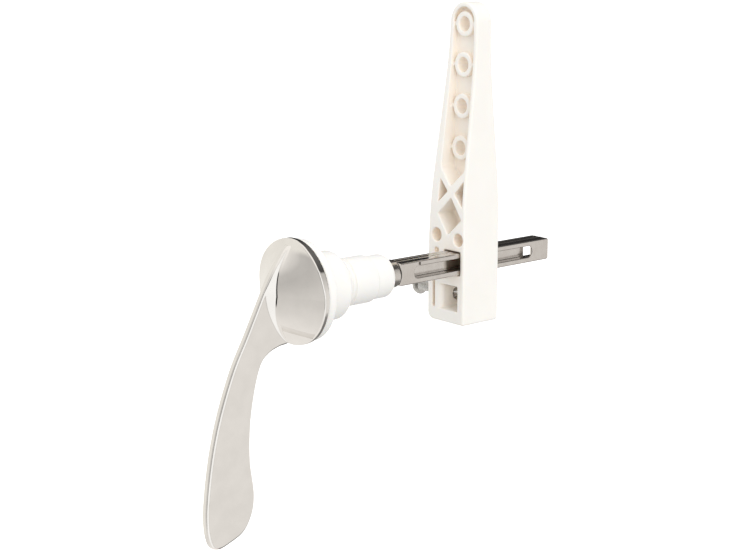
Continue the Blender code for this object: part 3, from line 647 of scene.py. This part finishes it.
def make_nickel():
    """Satin plated sheet: rolling lines along the spindle and a mottled sheen."""
    material, tree, shader = principled("nickel_plated_steel_fine", roughness=0.3, metallic=1.0)
    mottle = noise(tree, scale=320.0, detail=2.0)
    tint(tree, shader, mottle, dark=(0.62, 0.59, 0.565), light=(0.66, 0.635, 0.61))
    lines = noise(tree, scale=2600.0, detail=2.0, stretch=(1.0, 0.03, 1.0))
    vary_roughness(tree, shader, lines, smooth=0.10, rough=0.20)
    bump(tree, shader, lines, distance=0.01 * MM, strength=0.5)
    return material


def make_zinc():
    """Plated steel of the screw, the pin and the clip."""
    material, tree, shader = principled("zinc_plated_steel_fine", roughness=0.16, metallic=1.0)
    mottle = noise(tree, scale=1200.0, detail=4.0)
    tint(tree, shader, mottle, dark=(0.46, 0.455, 0.44), light=(0.58, 0.575, 0.56))
    vary_roughness(tree, shader, mottle, smooth=0.10, rough=0.22)
    bump(tree, shader, mottle, distance=0.01 * MM, strength=0.4)
    return material


def make_plastic(name, painted_shade_tint, dark, light, roughness, grain):
    """Moulded plastic: slow drift of tint, painted shade that tints recesses warmer and darker, and a
    fine skin on the gloss.
    """
    material, tree, shader = principled(name, roughness, metallic=0.0)
    shader.inputs["IOR"].default_value = PLASTIC_IOR
    shader.inputs["Subsurface Weight"].default_value = PLASTIC_SCATTER
    shader.inputs["Subsurface Radius"].default_value = PLASTIC_SCATTER_RADIUS
    shader.inputs["Subsurface Scale"].default_value = PLASTIC_SCATTER_SCALE
    drift = noise(tree, scale=70.0, detail=2.0)
    colour = tint(tree, shader, drift, dark, light)
    # Painted shade: ambient occlusion mixes a warmer, darker shade tint into recesses, standing in for
    # their shadow and reflected light.
    recess = add_node(tree, "ShaderNodeAmbientOcclusion", samples=SHADE_SAMPLES)
    recess.inputs["Distance"].default_value = SHADE_REACH
    painted_shade_colour = add_node(tree, "ShaderNodeMix", data_type="RGBA")
    painted_shade_colour.inputs[6].default_value = (*painted_shade_tint, 1.0)
    tree.links.new(recess.outputs["AO"], painted_shade_colour.inputs["Factor"])
    tree.links.new(colour, painted_shade_colour.inputs[7])
    tree.links.new(painted_shade_colour.outputs[2], shader.inputs["Base Color"])
    skin = noise(tree, grain, detail=4.0)
    vary_roughness(tree, shader, skin, smooth=roughness - 0.05, rough=roughness + 0.08)
    bump(tree, shader, skin, distance=0.02 * MM, strength=0.25)
    return material


# ------------------------ lever handle
def head_level(z):
    """One at the middle of the head, and zero at its top and bottom."""
    return np.maximum(1.0 - (z / HEAD_RADIUS) ** 2, LEAST_LEVEL)


def crest_fillet(z):
    """Radius of the hollow between the blade and the dish at a height."""
    above = np.clip(z / FILLET_FADE_ABOVE, 0.0, 1.0)
    below = np.clip(-z / FILLET_FADE_BELOW, 0.0, 1.0)
    return CREST_FILLET * np.sqrt(head_level(z)) * (1.0 - FILLET_FADE * above - FILLET_FADE * below)


def head_front_y(x, z):
    """Front of the head: a crest by the blade, and a dished half on each side."""
    level = head_level(z)
    crest = CREST_HEIGHT * level ** np.where(z > 0.0, CREST_POWER_ABOVE, CREST_POWER_BELOW)
    half_width = HEAD_RADIUS * np.sqrt(level)
    dish_width = np.maximum(half_width - BLADE_HALF_THICKNESS, LEAST_DISH_WIDTH)
    share = np.clip((np.abs(x) - BLADE_HALF_THICKNESS) / dish_width, 0.0, 1.0)
    swell = RIM_SWELL * 2.0 * np.abs(x) * np.maximum(z, 0.0) / HEAD_RADIUS ** 2
    return RIM_FRONT_Y - swell - crest * (1.0 - share) ** DISH_POWER


blade_curve = spline([(y * MM, z * MM) for y, z in BLADE_OUTLINE], BLADE_CURVE_STEPS)


def handle_field(x, y, z):
    """One casting: head, blade and the hollow boss behind."""
    radius = np.sqrt(x * x + z * z)
    head = round_meet(radius - HEAD_RADIUS, y - HEAD_BACK_Y, EDGE_ROUND)
    head = round_meet(head, FRONT_SCALE * (head_front_y(x, z) - y), RIM_ROUND)
    blade_side = np.abs(x) - BLADE_HALF_THICKNESS
    blade = round_meet(outline_distance(y, z, blade_curve), blade_side, BLADE_ROUND)
    body = round_join(head, blade, crest_fillet(z) + LEAST_FILLET)
    boss_y = (HEAD_BACK_Y + handle_high.y) / 2
    boss_half = (handle_high.y - HEAD_BACK_Y) / 2
    boss = round_meet(radius - HANDLE_BOSS_RADIUS, np.abs(y - boss_y) - boss_half, SOFT_ROUND)
    socket = np.maximum(radius - HANDLE_SOCKET_RADIUS, handle_high.y - HANDLE_SOCKET_DEPTH - y)
    return round_cut(np.minimum(body, boss), socket, EDGE_ROUND)


def make_handle(material):
    """Chrome handle."""
    piece = field_object("lever_handle_fine", handle_field, handle_low, handle_high, HANDLE_STEP,
                         material)
    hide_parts("lever_handle")
    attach(piece, "lever")


# ------------------------ bush and its rings
def thread_profile(radius, start_y, end_y, pitch, depth):
    """(radius, Y) points of thread rings, from end_y down to start_y."""
    points = []
    turns = int((end_y - start_y) / pitch)
    for i in range(turns):
        top = end_y - i * pitch
        points += [(radius - sink * depth, top - share * pitch) for share, sink in THREAD_FORM]
    return points


def make_bush(material):
    """White bush: flange, barrel with a thread under the nut, and neck."""
    front = bush_low.y
    barrel = collar_low.y - GAP
    recess_y = front + THRUST_RECESS_DEPTH
    bore_y = handle_high.y + 2 * GAP
    seat_y = -SEAT_RELIEF
    thread = thread_profile(BARREL_RADIUS, BARREL_THREAD_START_Y, BARREL_THREAD_END_Y,
                            BARREL_PITCH, BARREL_THREAD_DEPTH)
    corners = [
        (BUSH_BORE, bush_high.y, SMALL_ROUND),
        (NECK_RADIUS, bush_high.y, EDGE_ROUND),
        (NECK_RADIUS, barrel, SMALL_ROUND),
        (BARREL_RADIUS, barrel, BROAD_ROUND),
        (BARREL_RADIUS, BARREL_PLAIN_Y, 0.0),
    ]
    corners += [(radius, y, 0.0) for radius, y in thread]
    corners += [
        (BARREL_RADIUS, seat_y + SEAT_STEP, 0.0),
        (BARREL_RADIUS, seat_y, EDGE_ROUND),
        (SEAT_RADIUS, seat_y, FINE_ROUND),
        (SEAT_RADIUS, 0.0, SEAT_ROUND),
        (bush_high.x, 0.0, FLANGE_BACK_ROUND),
        (bush_high.x, front, FLANGE_FRONT_ROUND),
        (THRUST_RECESS_RADIUS, front, EDGE_ROUND),
        (THRUST_RECESS_RADIUS, recess_y, SMALL_ROUND),
        (BOSS_BORE_RADIUS, recess_y, SMALL_ROUND),
        (BOSS_BORE_RADIUS, bore_y, SMALL_ROUND),
        (BUSH_BORE, bore_y, SMALL_ROUND),
    ]
    piece = turned_object("bush_fine", rounded_profile(corners), material)
    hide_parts("bush")
    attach(piece, "wall_bush")


def make_backnut(material):
    """Round backnut with a rounded rear edge."""
    start = nut_low.y
    end = nut_high.y
    corners = [
        (NUT_BORE, end, SMALL_ROUND),
        (nut_high.x, end, NUT_REAR_ROUND),
        (nut_high.x, start, BROAD_ROUND),
        (NUT_BORE, start, EDGE_ROUND),
    ]
    piece = turned_object("backnut_fine", rounded_profile(corners, NUT_ARC_STEPS), material)
    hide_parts("backnut")
    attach(piece, "nut")


def make_end_collar(material):
    """Collar on the end of the barrel."""
    start = collar_low.y
    end = collar_high.y
    pocket_end = end - COLLAR_END_THICKNESS
    corners = [
        (BUSH_BORE, end, EDGE_ROUND),
        (collar_high.x, end, COLLAR_REAR_ROUND),
        (collar_high.x, start, BROAD_ROUND),
        (COLLAR_POCKET_RADIUS, start, SMALL_ROUND),
        (COLLAR_POCKET_RADIUS, pocket_end, SMALL_ROUND),
        (BUSH_BORE, pocket_end, SMALL_ROUND),
    ]
    piece = turned_object("end_collar_fine", rounded_profile(corners), material)
    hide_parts("end_collar")
    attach(piece, "wall_bush")


def make_sealing_washer(material):
    """Soft washer in front of the nut."""
    start = washer_low.y
    end = washer_high.y
    corners = [
        (NUT_BORE, end, SMALL_ROUND),
        (washer_high.x, end, WASHER_ROUND),
        (washer_high.x, start, WASHER_ROUND),
        (NUT_BORE, start, SMALL_ROUND),
    ]
    piece = turned_object("sealing_washer_fine", rounded_profile(corners), material)
    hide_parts("sealing_washer")
    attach(piece, "washer")


# ------------------------ shank, spindle
def shank_field(x, y, z):
    """Turned shank with its spigot, clip groove and square tang."""
    radius = np.sqrt(x * x + z * z)
    shoulder_y = handle_high.y + GAP
    body_end = spindle_low.y - GAP
    cone = CONE_SCALE * (radius - shank_high.x + y - body_end)
    body = round_meet(radius - shank_high.x, np.maximum(shoulder_y - y, cone), SHANK_ROUND)
    spigot_ends = np.maximum(shank_low.y - y, y - body_end)
    spigot = round_meet(radius - SPIGOT_RADIUS, spigot_ends, EDGE_ROUND)
    tang_half = SPINDLE_HALF - SHEET - GAP
    tang_ends = np.maximum(body_end - TANG_OVERLAP - y, y - shank_high.y)
    tang = round_meet(rectangle(x, z, tang_half, tang_half, SOFT_ROUND), tang_ends, EDGE_ROUND)
    groove_y = bush_high.y + CLIP_GROOVE_FROM_BUSH
    groove = np.maximum(CLIP_GROOVE_RADIUS - radius, np.abs(y - groove_y) - CLIP_GROOVE_HALF_WIDTH)
    body = round_cut(body, groove, SHANK_ROUND)
    return round_join(np.minimum(body, spigot), tang, SMALL_ROUND)


def spindle_grooves(x, y, z):
    """Long grooves that are pressed into both sides of the spindle."""
    middle_y = (GROOVE_START_Y + GROOVE_END_Y) / 2
    half_length = (GROOVE_END_Y - GROOVE_START_Y) / 2
    end_round = GROOVE_HALF_HEIGHT - GROOVE_END_FLAT
    groove = rectangle(y - middle_y, z, half_length, GROOVE_HALF_HEIGHT, end_round)
    return round_meet(groove, SHEET - np.abs(x), SPINDLE_EDGE)


def back_slot(x, y, z):
    """Open slot in the far wall of the spindle, near its free end."""
    slot_y = (WEB_END_Y + BACK_SLOT_END_Y) / 2 + SHEET / 2
    slot_z = (BACK_SLOT_BOTTOM_Z + GROOVE_HALF_HEIGHT) / 2
    half_length = (BACK_SLOT_END_Y - WEB_END_Y - SHEET) / 2
    half_height = (GROOVE_HALF_HEIGHT - BACK_SLOT_BOTTOM_Z) / 2
    slot = rectangle(y - slot_y, z - slot_z, half_length, half_height, BACK_SLOT_ROUND)
    return np.maximum(slot, x + SPINDLE_HALF - 2 * SHEET)


def side_notch(x, y, z):
    """Narrow notch across the near side of the spindle, by the shank."""
    notch_z = np.maximum(z - NOTCH_TOP_Z, NOTCH_BOTTOM_Z - z)
    notch = np.maximum(np.abs(y - NOTCH_Y) - NOTCH_HALF_WIDTH, notch_z)
    return np.maximum(notch, SPINDLE_HALF - 2 * SHEET - x)


def spindle_field(x, y, z):
    """Square tube folded from sheet, open along its top seam, grooved on both sides."""
    radius = np.sqrt(x * x + z * z)
    middle_y = (spindle_low.y + spindle_high.y) / 2
    half_length = (spindle_high.y - spindle_low.y) / 2
    side_view = rectangle(y - middle_y, z, half_length, SPINDLE_HALF, SPINDLE_END_ROUND)
    outer = rectangle(x, z + SEAM_LIP_HEIGHT / 2, SPINDLE_HALF, SPINDLE_HALF - SEAM_LIP_HEIGHT / 2,
                      SPINDLE_CORNER)
    outer = round_meet(outer, side_view, SPINDLE_EDGE)
    mouth = CONE_SCALE * (radius - shank_high.x + y - spindle_low.y)
    outer = round_cut(outer, mouth, FINE_ROUND)
    inner_half = SPINDLE_HALF - SHEET
    tube = round_cut(outer, rectangle(x, z, inner_half, inner_half, SOFT_ROUND), SMALL_ROUND)
    lining = rectangle(x, z, inner_half + LINING_OVERLAP, GROOVE_HALF_HEIGHT + SHEET, EDGE_ROUND)
    lining_ends = np.maximum(GROOVE_START_Y - WEB_START_OVERLAP - y, y - WEB_END_Y)
    body = np.minimum(tube, np.maximum(lining, lining_ends))
    body = round_cut(body, spindle_grooves(x, y, z), EDGE_ROUND)
    body = round_cut(body, back_slot(x, y, z), SMALL_ROUND)

    for lip_x in SEAM_LIPS_X:
        lip = np.sqrt((x - lip_x) ** 2 + (z - SPINDLE_HALF + SEAM_LIP_RADIUS) ** 2) - SEAM_LIP_RADIUS
        body = np.minimum(body, np.maximum(lip, side_view))
    seam = np.maximum(np.abs(x) - SEAM_HALF_WIDTH, GROOVE_HALF_HEIGHT + SHEET - z)
    body = round_cut(body, seam, FINE_ROUND)
    for pip_x, pip_y in TOP_PIPS:
        pip = np.sqrt((x - pip_x) ** 2 + (y - pip_y) ** 2 + (z - SPINDLE_HALF) ** 2) - PIP_RADIUS
        body = round_cut(body, pip, FINE_ROUND)
    return round_cut(body, side_notch(x, y, z), FINE_ROUND)


def make_shank_and_spindle(material):
    """Turning shank and the spindle that it drives."""
    shank = field_object("turning_shank_fine", shank_field, shank_low, shank_high, SHANK_STEP,
                         material)
    spindle = field_object("spindle_fine", spindle_field, spindle_low, spindle_high, SPINDLE_STEP,
                           material)
    for piece, node in ((shank, "turning_shank"), (spindle, "spindle")):
        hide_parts(node)
        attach(piece, "lever")


# ------------------------ lift arm
def arm_left_x(z):
    """Left side of the arm at a height: upright at the hub, then leaning in."""
    slope = (TIP_LEFT_X - ARM_LEFT_X) / (TIP_CENTRE[1] - WAIST_Z)
    return ARM_LEFT_X + slope * soft_ramp(z - WAIST_Z, WAIST_BEND)


def arm_half_depth(z):
    """Half of the arm's depth at a height: full at the hub, thin at the tip."""
    slope = (HUB_HALF_DEPTH - TIP_HALF_DEPTH) / (TAPER_END_Z - TAPER_START_Z)
    first_bend = soft_ramp(z - TAPER_START_Z, TAPER_BEND)
    second_bend = soft_ramp(z - TAPER_END_Z, TAPER_BEND)
    return HUB_HALF_DEPTH - slope * (first_bend - second_bend)


def arm_middle_x(z):
    """Middle of the arm between its sides."""
    return (arm_left_x(z) + ARM_RIGHT_X) / 2


def arm_outline(x, z):
    """Outline of the arm, seen along Y."""
    sides = round_meet(arm_left_x(z) - x, ARM_BOTTOM_Z - z, FOOT_LEFT_ROUND)
    sides = round_meet(sides, x - ARM_RIGHT_X, FOOT_RIGHT_ROUND)
    tip = np.sqrt((x - TIP_CENTRE[0]) ** 2 + (z - TIP_CENTRE[1]) ** 2) - TIP_RADIUS
    return np.where(z > TIP_CENTRE[1], tip, sides)


def channel_outline(x, z):
    """Outline of the long pocket that holds the link bosses."""
    cx, cz = LATTICE_CENTRE
    tip_radius = TIP_RADIUS - TIP_WALL
    top_left = (TIP_CENTRE[0] - tip_radius, TIP_CENTRE[1])
    top_right = (TIP_CENTRE[0] + tip_radius, TIP_CENTRE[1])
    corners = [
        (cx, cz + CHANNEL_FOOT_UP),
        (INNER_RIGHT_X, cz + CHANNEL_RIGHT_UP),
        top_right,
        (TIP_CENTRE[0], TIP_CENTRE[1] + CHANNEL_OPEN_TOP),
        top_left,
        (INNER_LEFT_X + CHANNEL_LEFT_IN, cz + CHANNEL_LEFT_UP),
    ]
    sides = rounded_convex(x, z, corners, CHANNEL_ROUND)
    tip = np.sqrt((x - TIP_CENTRE[0]) ** 2 + (z - TIP_CENTRE[1]) ** 2) - tip_radius
    return np.where(z > TIP_CENTRE[1], tip, sides)


def lattice_pockets(x, z):
    """Two triangles and a diamond between the crossed ribs."""
    cx, cz = LATTICE_CENTRE
    side_x = {"left": INNER_LEFT_X, "middle": cx, "right": INNER_RIGHT_X}
    field = np.inf
    for rounding, corners in LATTICE_POCKETS:
        outline = [(side_x[side] + across * MM, cz + up * MM) for side, across, up in corners]
        field = np.minimum(field, rounded_convex(x, z, outline, rounding * MM))
    return field


def hub_cuts(x, y, z, depth):
    """Holes and pockets in the hub, at a depth below the nearer broad face."""
    from_mid = np.abs(y - ARM_MID_Y)
    field = rectangle(x, z, HUB_HOLE_HALF, HUB_HOLE_HALF, SOFT_ROUND)
    for core_x, core_z, radius, floor in HUB_CORES:
        core = np.sqrt((x - core_x * MM) ** 2 + (z - core_z * MM) ** 2) - radius * MM
        field = np.minimum(field, round_meet(core, floor * MM - from_mid, BROAD_ROUND))
    slit = rectangle(x - HUB_SLIT_CENTRE[0], z - HUB_SLIT_CENTRE[1], *HUB_SLIT_HALF, HUB_SLIT_ROUND)
    field = np.minimum(field, round_meet(slit, HUB_SLIT_FLOOR - from_mid, EDGE_ROUND))

    below = np.clip(CLAMP_FLARE_RADIUS - depth, 0.0, CLAMP_FLARE_RADIUS)
    flare = CLAMP_FLARE_RADIUS - np.sqrt(CLAMP_FLARE_RADIUS ** 2 - below ** 2)
    clamp = round_meet(CLAMP_POCKET_LEFT_X - flare - x, x - CLAMP_POCKET_RIGHT_X, BROAD_ROUND)
    clamp_height = np.abs(z - CLAMP_POCKET_Z) - CLAMP_POCKET_HALF
    clamp = round_meet(clamp, clamp_height, CLAMP_POCKET_ROUND)
    field = np.minimum(field, clamp)
    screw_hole = np.sqrt((y - ARM_MID_Y) ** 2 + (z - SCREW_Z) ** 2) - SCREW_RADIUS - HOLE_SLACK
    return np.minimum(field, np.maximum(screw_hole, x - SCREW_HOLE_END_X))


def arm_field(x, y, z):
    """Moulded lift arm."""
    from_mid = np.abs(y - ARM_MID_Y)
    half_depth = arm_half_depth(z)
    depth = half_depth - from_mid
    body = round_meet(arm_outline(x, z), -depth, ARM_EDGE_ROUND)
    hollow = np.minimum(channel_outline(x, z), lattice_pockets(x, z))
    hollow = round_meet(hollow, WEB_HALF - from_mid, POCKET_FLOOR_ROUND)
    body = round_cut(body, hollow, POCKET_EDGE_ROUND)
    for height in LINK_HOLE_HEIGHTS:
        middle = arm_middle_x(height)
        radius = np.sqrt((x - middle) ** 2 + (z - height) ** 2)
        boss = round_meet(radius - BOSS_RADIUS, from_mid - BOSS_HALF_LENGTH, BOSS_EDGE_ROUND)
        reach = ARM_RIGHT_X - middle - BOSS_RIB_END
        rib = rectangle(x - middle, z - height, reach, BOSS_RIB_HALF, FINE_ROUND)
        rib = round_meet(rib, from_mid - BOSS_HALF_LENGTH + BOSS_RIB_SET_BACK, EDGE_ROUND)
        body = round_join(body, round_join(boss, rib, SOFT_ROUND), BOSS_FOOT_ROUND)
        body = round_cut(body, radius - LINK_HOLE_RADIUS, SOFT_ROUND)
    return round_cut(body, hub_cuts(x, y, z, depth), POCKET_EDGE_ROUND)


def make_lift_arm(material):
    """Cream lift arm."""
    piece = field_object("lift_arm_fine", arm_field, arm_low, arm_high, ARM_STEP, material)
    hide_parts("lift_arm")
    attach(piece, "arm")


# ------------------------ clamp screw
def screw_field(x, y, z):
    """Pan-head screw with a real helical thread and a cross recess."""
    u = y - ARM_MID_Y
    v = z - SCREW_Z
    radius = np.sqrt(u * u + v * v)
    phase = (x / SCREW_PITCH - np.arctan2(v, u) / (2 * math.pi)) % 1.0
    flank = np.abs(2 * phase - 1)
    sink = np.clip(SCREW_FLANK_SLOPE * flank - SCREW_FLANK_SHIFT, 0.0, 1.0)
    thread = THREAD_SCALE * (radius - (SCREW_RADIUS - THREAD_DEPTH * sink))
    taper = radius - SCREW_RADIUS + POINT_TAPER * (x - SCREW_TIP_X + POINT_TAPER_LENGTH)
    ends = np.maximum(x - SCREW_TIP_X, SCREW_SHOULDER_X - SCREW_HEAD_OVERLAP - x)
    shaft = np.maximum(thread, np.maximum(TAPER_SCALE * taper, ends))
    shaft = round_cut(shaft, radius - POINT_CUP_RADIUS + SCREW_TIP_X - x, FINE_ROUND)
    dome = np.sqrt((x - screw_low.x - DOME_RADIUS) ** 2 + radius ** 2) - DOME_RADIUS
    head = round_meet(radius - SCREW_HEAD_RADIUS, x - SCREW_SHOULDER_X, SCREW_HEAD_ROUND)
    head = round_meet(head, dome, DOME_EDGE_ROUND)
    recess = np.minimum(rectangle(u, v, RECESS_HALF_LENGTH, RECESS_HALF_WIDTH, EDGE_ROUND),
                        rectangle(u, v, RECESS_HALF_WIDTH, RECESS_HALF_LENGTH, EDGE_ROUND))
    recess_floor = x - screw_low.x - RECESS_DEPTH + RECESS_TAPER * radius
    head = round_cut(head, np.maximum(recess, recess_floor), RECESS_ROUND)
    return np.minimum(shaft, head)


def make_screw(material):
    """Clamp screw."""
    piece = field_object("clamp_screw_fine", screw_field, screw_low, screw_high, SCREW_STEP, material)
    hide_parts("clamp_screw")
    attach(piece, "screw")


# ------------------------ stage and light
def make_floor():
    """Pale floor, well below the hanging lever."""
    floor_z = cad_low[2] - FLOOR_DROP
    mesh = bpy.data.meshes.new("floor")
    corners = [(FLOOR_HALF * u, FLOOR_HALF * v, floor_z) for u, v in ((-1, -1), (1, -1), (1, 1), (-1, 1))]
    mesh.from_pydata(corners, [], [(0, 1, 2, 3)])
    material, _, shader = principled("pale_floor", roughness=0.9, metallic=0.0)
    shader.inputs["Base Color"].default_value = (FLOOR_GREY, FLOOR_GREY, FLOOR_GREY, 1.0)
    shader.inputs["Emission Color"].default_value = (1.0, 1.0, 1.0, 1.0)
    shader.inputs["Emission Strength"].default_value = FLOOR_GLOW
    floor = add_piece("floor", mesh, material)
    floor.visible_glossy = False
    floor.visible_diffuse = False


def grey_tint(grey, warmth):
    """Grey with less green and blue in it as the warmth rises from 0 to 1."""
    green = grey * (1.0 - WARM_GREEN_LOSS * warmth)
    blue = grey * (1.0 - WARM_BLUE_LOSS * warmth)
    return (grey, green, blue, 1.0)


def ramp_node(tree, stops, warmth=1.0):
    """Colour ramp with (position, grey) stops, the positions from -1 to 1."""
    ramp = add_node(tree, "ShaderNodeValToRGB")
    elements = ramp.color_ramp.elements
    elements.remove(elements[1])
    elements[0].position = (stops[0][0] + 1) / 2
    elements[0].color = grey_tint(stops[0][1], warmth)
    for position, grey in stops[1:]:
        elements.new((position + 1) / 2).color = grey_tint(grey, warmth)
    return ramp


def make_world():
    """White surround for plain light, and a dark-ended studio for reflections.

    Each patch of the studio spans the directions between the given X, Y and Z of the ray.
    """
    world = bpy.data.worlds.new("studio")
    bpy.context.scene.world = world
    world.use_nodes = True
    tree = world.node_tree
    background = tree.nodes["Background"]
    place = add_node(tree, "ShaderNodeTexCoord")
    axes = add_node(tree, "ShaderNodeSeparateXYZ")
    tree.links.new(place.outputs["Generated"], axes.inputs["Vector"])

    def rising(axis, start, end, low=0.0, high=1.0, kind="SMOOTHSTEP"):
        node = add_node(tree, "ShaderNodeMapRange", interpolation_type=kind)
        node.inputs["From Min"].default_value = start
        node.inputs["From Max"].default_value = end
        node.inputs["To Min"].default_value = low
        node.inputs["To Max"].default_value = high
        tree.links.new(axes.outputs[axis], node.inputs["Value"])
        return node.outputs["Result"]

    def falling(axis, start, end):
        return rising(axis, start, end, low=1.0, high=0.0)

    def patch(first, *others):
        product = first
        for factor in others:
            node = add_node(tree, "ShaderNodeMath", operation="MULTIPLY")
            tree.links.new(product, node.inputs[0])
            tree.links.new(factor, node.inputs[1])
            product = node.outputs["Value"]
        return product

    def light(colour):
        node = add_node(tree, "ShaderNodeRGB")
        node.outputs[0].default_value = colour
        return node.outputs[0]

    def studio(stops, warmth=1.0):
        ramp = ramp_node(tree, stops, warmth)
        tree.links.new(height, ramp.inputs["Fac"])
        return ramp.outputs["Color"]

    def blend(factor, a, b):
        node = add_node(tree, "ShaderNodeMix", data_type="RGBA")
        tree.links.new(factor, node.inputs["Factor"])
        tree.links.new(a, node.inputs[6])
        tree.links.new(b, node.inputs[7])
        return node.outputs[2]

    height = rising("Z", -1.0, 1.0, kind="LINEAR")
    white = light(WHITE_LIGHT)
    right_side = patch(rising("X", 0.56, 0.62), falling("Y", 0.22, 0.36), rising("Z", -0.95, -0.85))
    left_side = patch(falling("X", -0.62, -0.45), falling("Y", 0.40, 0.52), rising("Z", -0.60, -0.45))
    dark_edge = patch(rising("X", 0.40, 0.43), falling("X", 0.56, 0.59), falling("Y", -0.2, 0.0),
                      rising("Z", -0.50, -0.38), falling("Z", 0.50, 0.58))
    behind = blend(rising("X", 0.54, 0.60), studio(BACK_STUDIO), studio(BACK_RIGHT_STUDIO))
    mirror = blend(rising("Y", 0.40, 0.52), studio(FRONT_STUDIO), behind)
    mirror = blend(right_side, mirror, white)
    mirror = blend(left_side, mirror, light(BEIGE_LIGHT))
    mirror = blend(dark_edge, mirror, light(BLACK_LIGHT))
    path = add_node(tree, "ShaderNodeLightPath")
    surround = blend(path.outputs["Is Glossy Ray"], studio(PLAIN_SURROUND, PLAIN_WARMTH), mirror)
    clear = blend(path.outputs["Is Camera Ray"], surround, white)
    tree.links.new(clear, background.inputs["Color"])


def make_area_light(name, direction, size, power):
    """Soft square light that looks at the middle of the part, and isn't seen in the chrome."""
    light = bpy.data.lights.new(name, "AREA")
    light.size = size
    light.energy = power
    lamp = bpy.data.objects.new(name, light)
    direction = Vector(direction).normalized()
    lamp.location = part_centre + direction * LAMP_DISTANCE
    lamp.rotation_euler = direction.to_track_quat("Z", "Y").to_euler()
    lamp.visible_glossy = False
    bpy.context.scene.collection.objects.link(lamp)


def make_camera():
    """Camera to the right of the handle, a little above it, looking along the spindle."""
    level = math.cos(CAMERA_ELEVATION)
    back = Vector((math.sin(CAMERA_AZIMUTH) * level, -math.cos(CAMERA_AZIMUTH) * level,
                   math.sin(CAMERA_ELEVATION)))
    data = bpy.data.cameras.new("camera")
    data.sensor_width = SENSOR_WIDTH
    data.lens = LENS
    data.clip_start = NEAR_CLIP
    camera = bpy.data.objects.new("camera", data)
    camera.location = CAMERA_AIM + back * CAMERA_DISTANCE
    camera.rotation_euler = (math.pi / 2 - CAMERA_ELEVATION, 0.0, CAMERA_AZIMUTH)
    bpy.context.scene.collection.objects.link(camera)
    bpy.context.scene.camera = camera


chrome = make_chrome()
nickel = make_nickel()
zinc = make_zinc()
# The first tint of each plastic is painted shade for its recesses; the other two are its own colour.
white_plastic = make_plastic(
    "white_acetal_fine", painted_shade_tint=(0.86, 0.84, 0.80), dark=(0.875, 0.87, 0.85),
    light=(0.89, 0.885, 0.865), roughness=0.38, grain=1500.0)
cream_plastic = make_plastic(
    "cream_plastic_fine", painted_shade_tint=(0.97, 0.86, 0.74), dark=(0.885, 0.87, 0.83),
    light=(0.90, 0.885, 0.85), roughness=0.42, grain=1800.0)
washer_plastic = make_plastic(
    "soft_washer_fine", painted_shade_tint=(0.72, 0.70, 0.66), dark=(0.80, 0.795, 0.77),
    light=(0.84, 0.835, 0.81), roughness=0.6, grain=2500.0)

make_handle(chrome)
make_bush(white_plastic)
make_backnut(white_plastic)
make_end_collar(white_plastic)
make_sealing_washer(washer_plastic)
make_shank_and_spindle(nickel)
make_lift_arm(cream_plastic)
make_screw(zinc)

# Inner pieces keep their CAD shape and take a finer material.
for node, finish in (("thrust_washer", white_plastic), ("clip_washer", white_plastic),
                     ("retaining_clip", zinc), ("cross_pin", zinc)):
    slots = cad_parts[node].data.materials
    slots.clear()
    slots.append(finish)

make_floor()
make_world()
make_area_light("key", direction=(0.95, -0.35, 0.30), size=0.6, power=3.9)
make_area_light("top", direction=(0.1, -0.2, 1.0), size=1.0, power=1.5)
make_camera()
bpy.context.scene.view_settings.view_transform = "Standard"
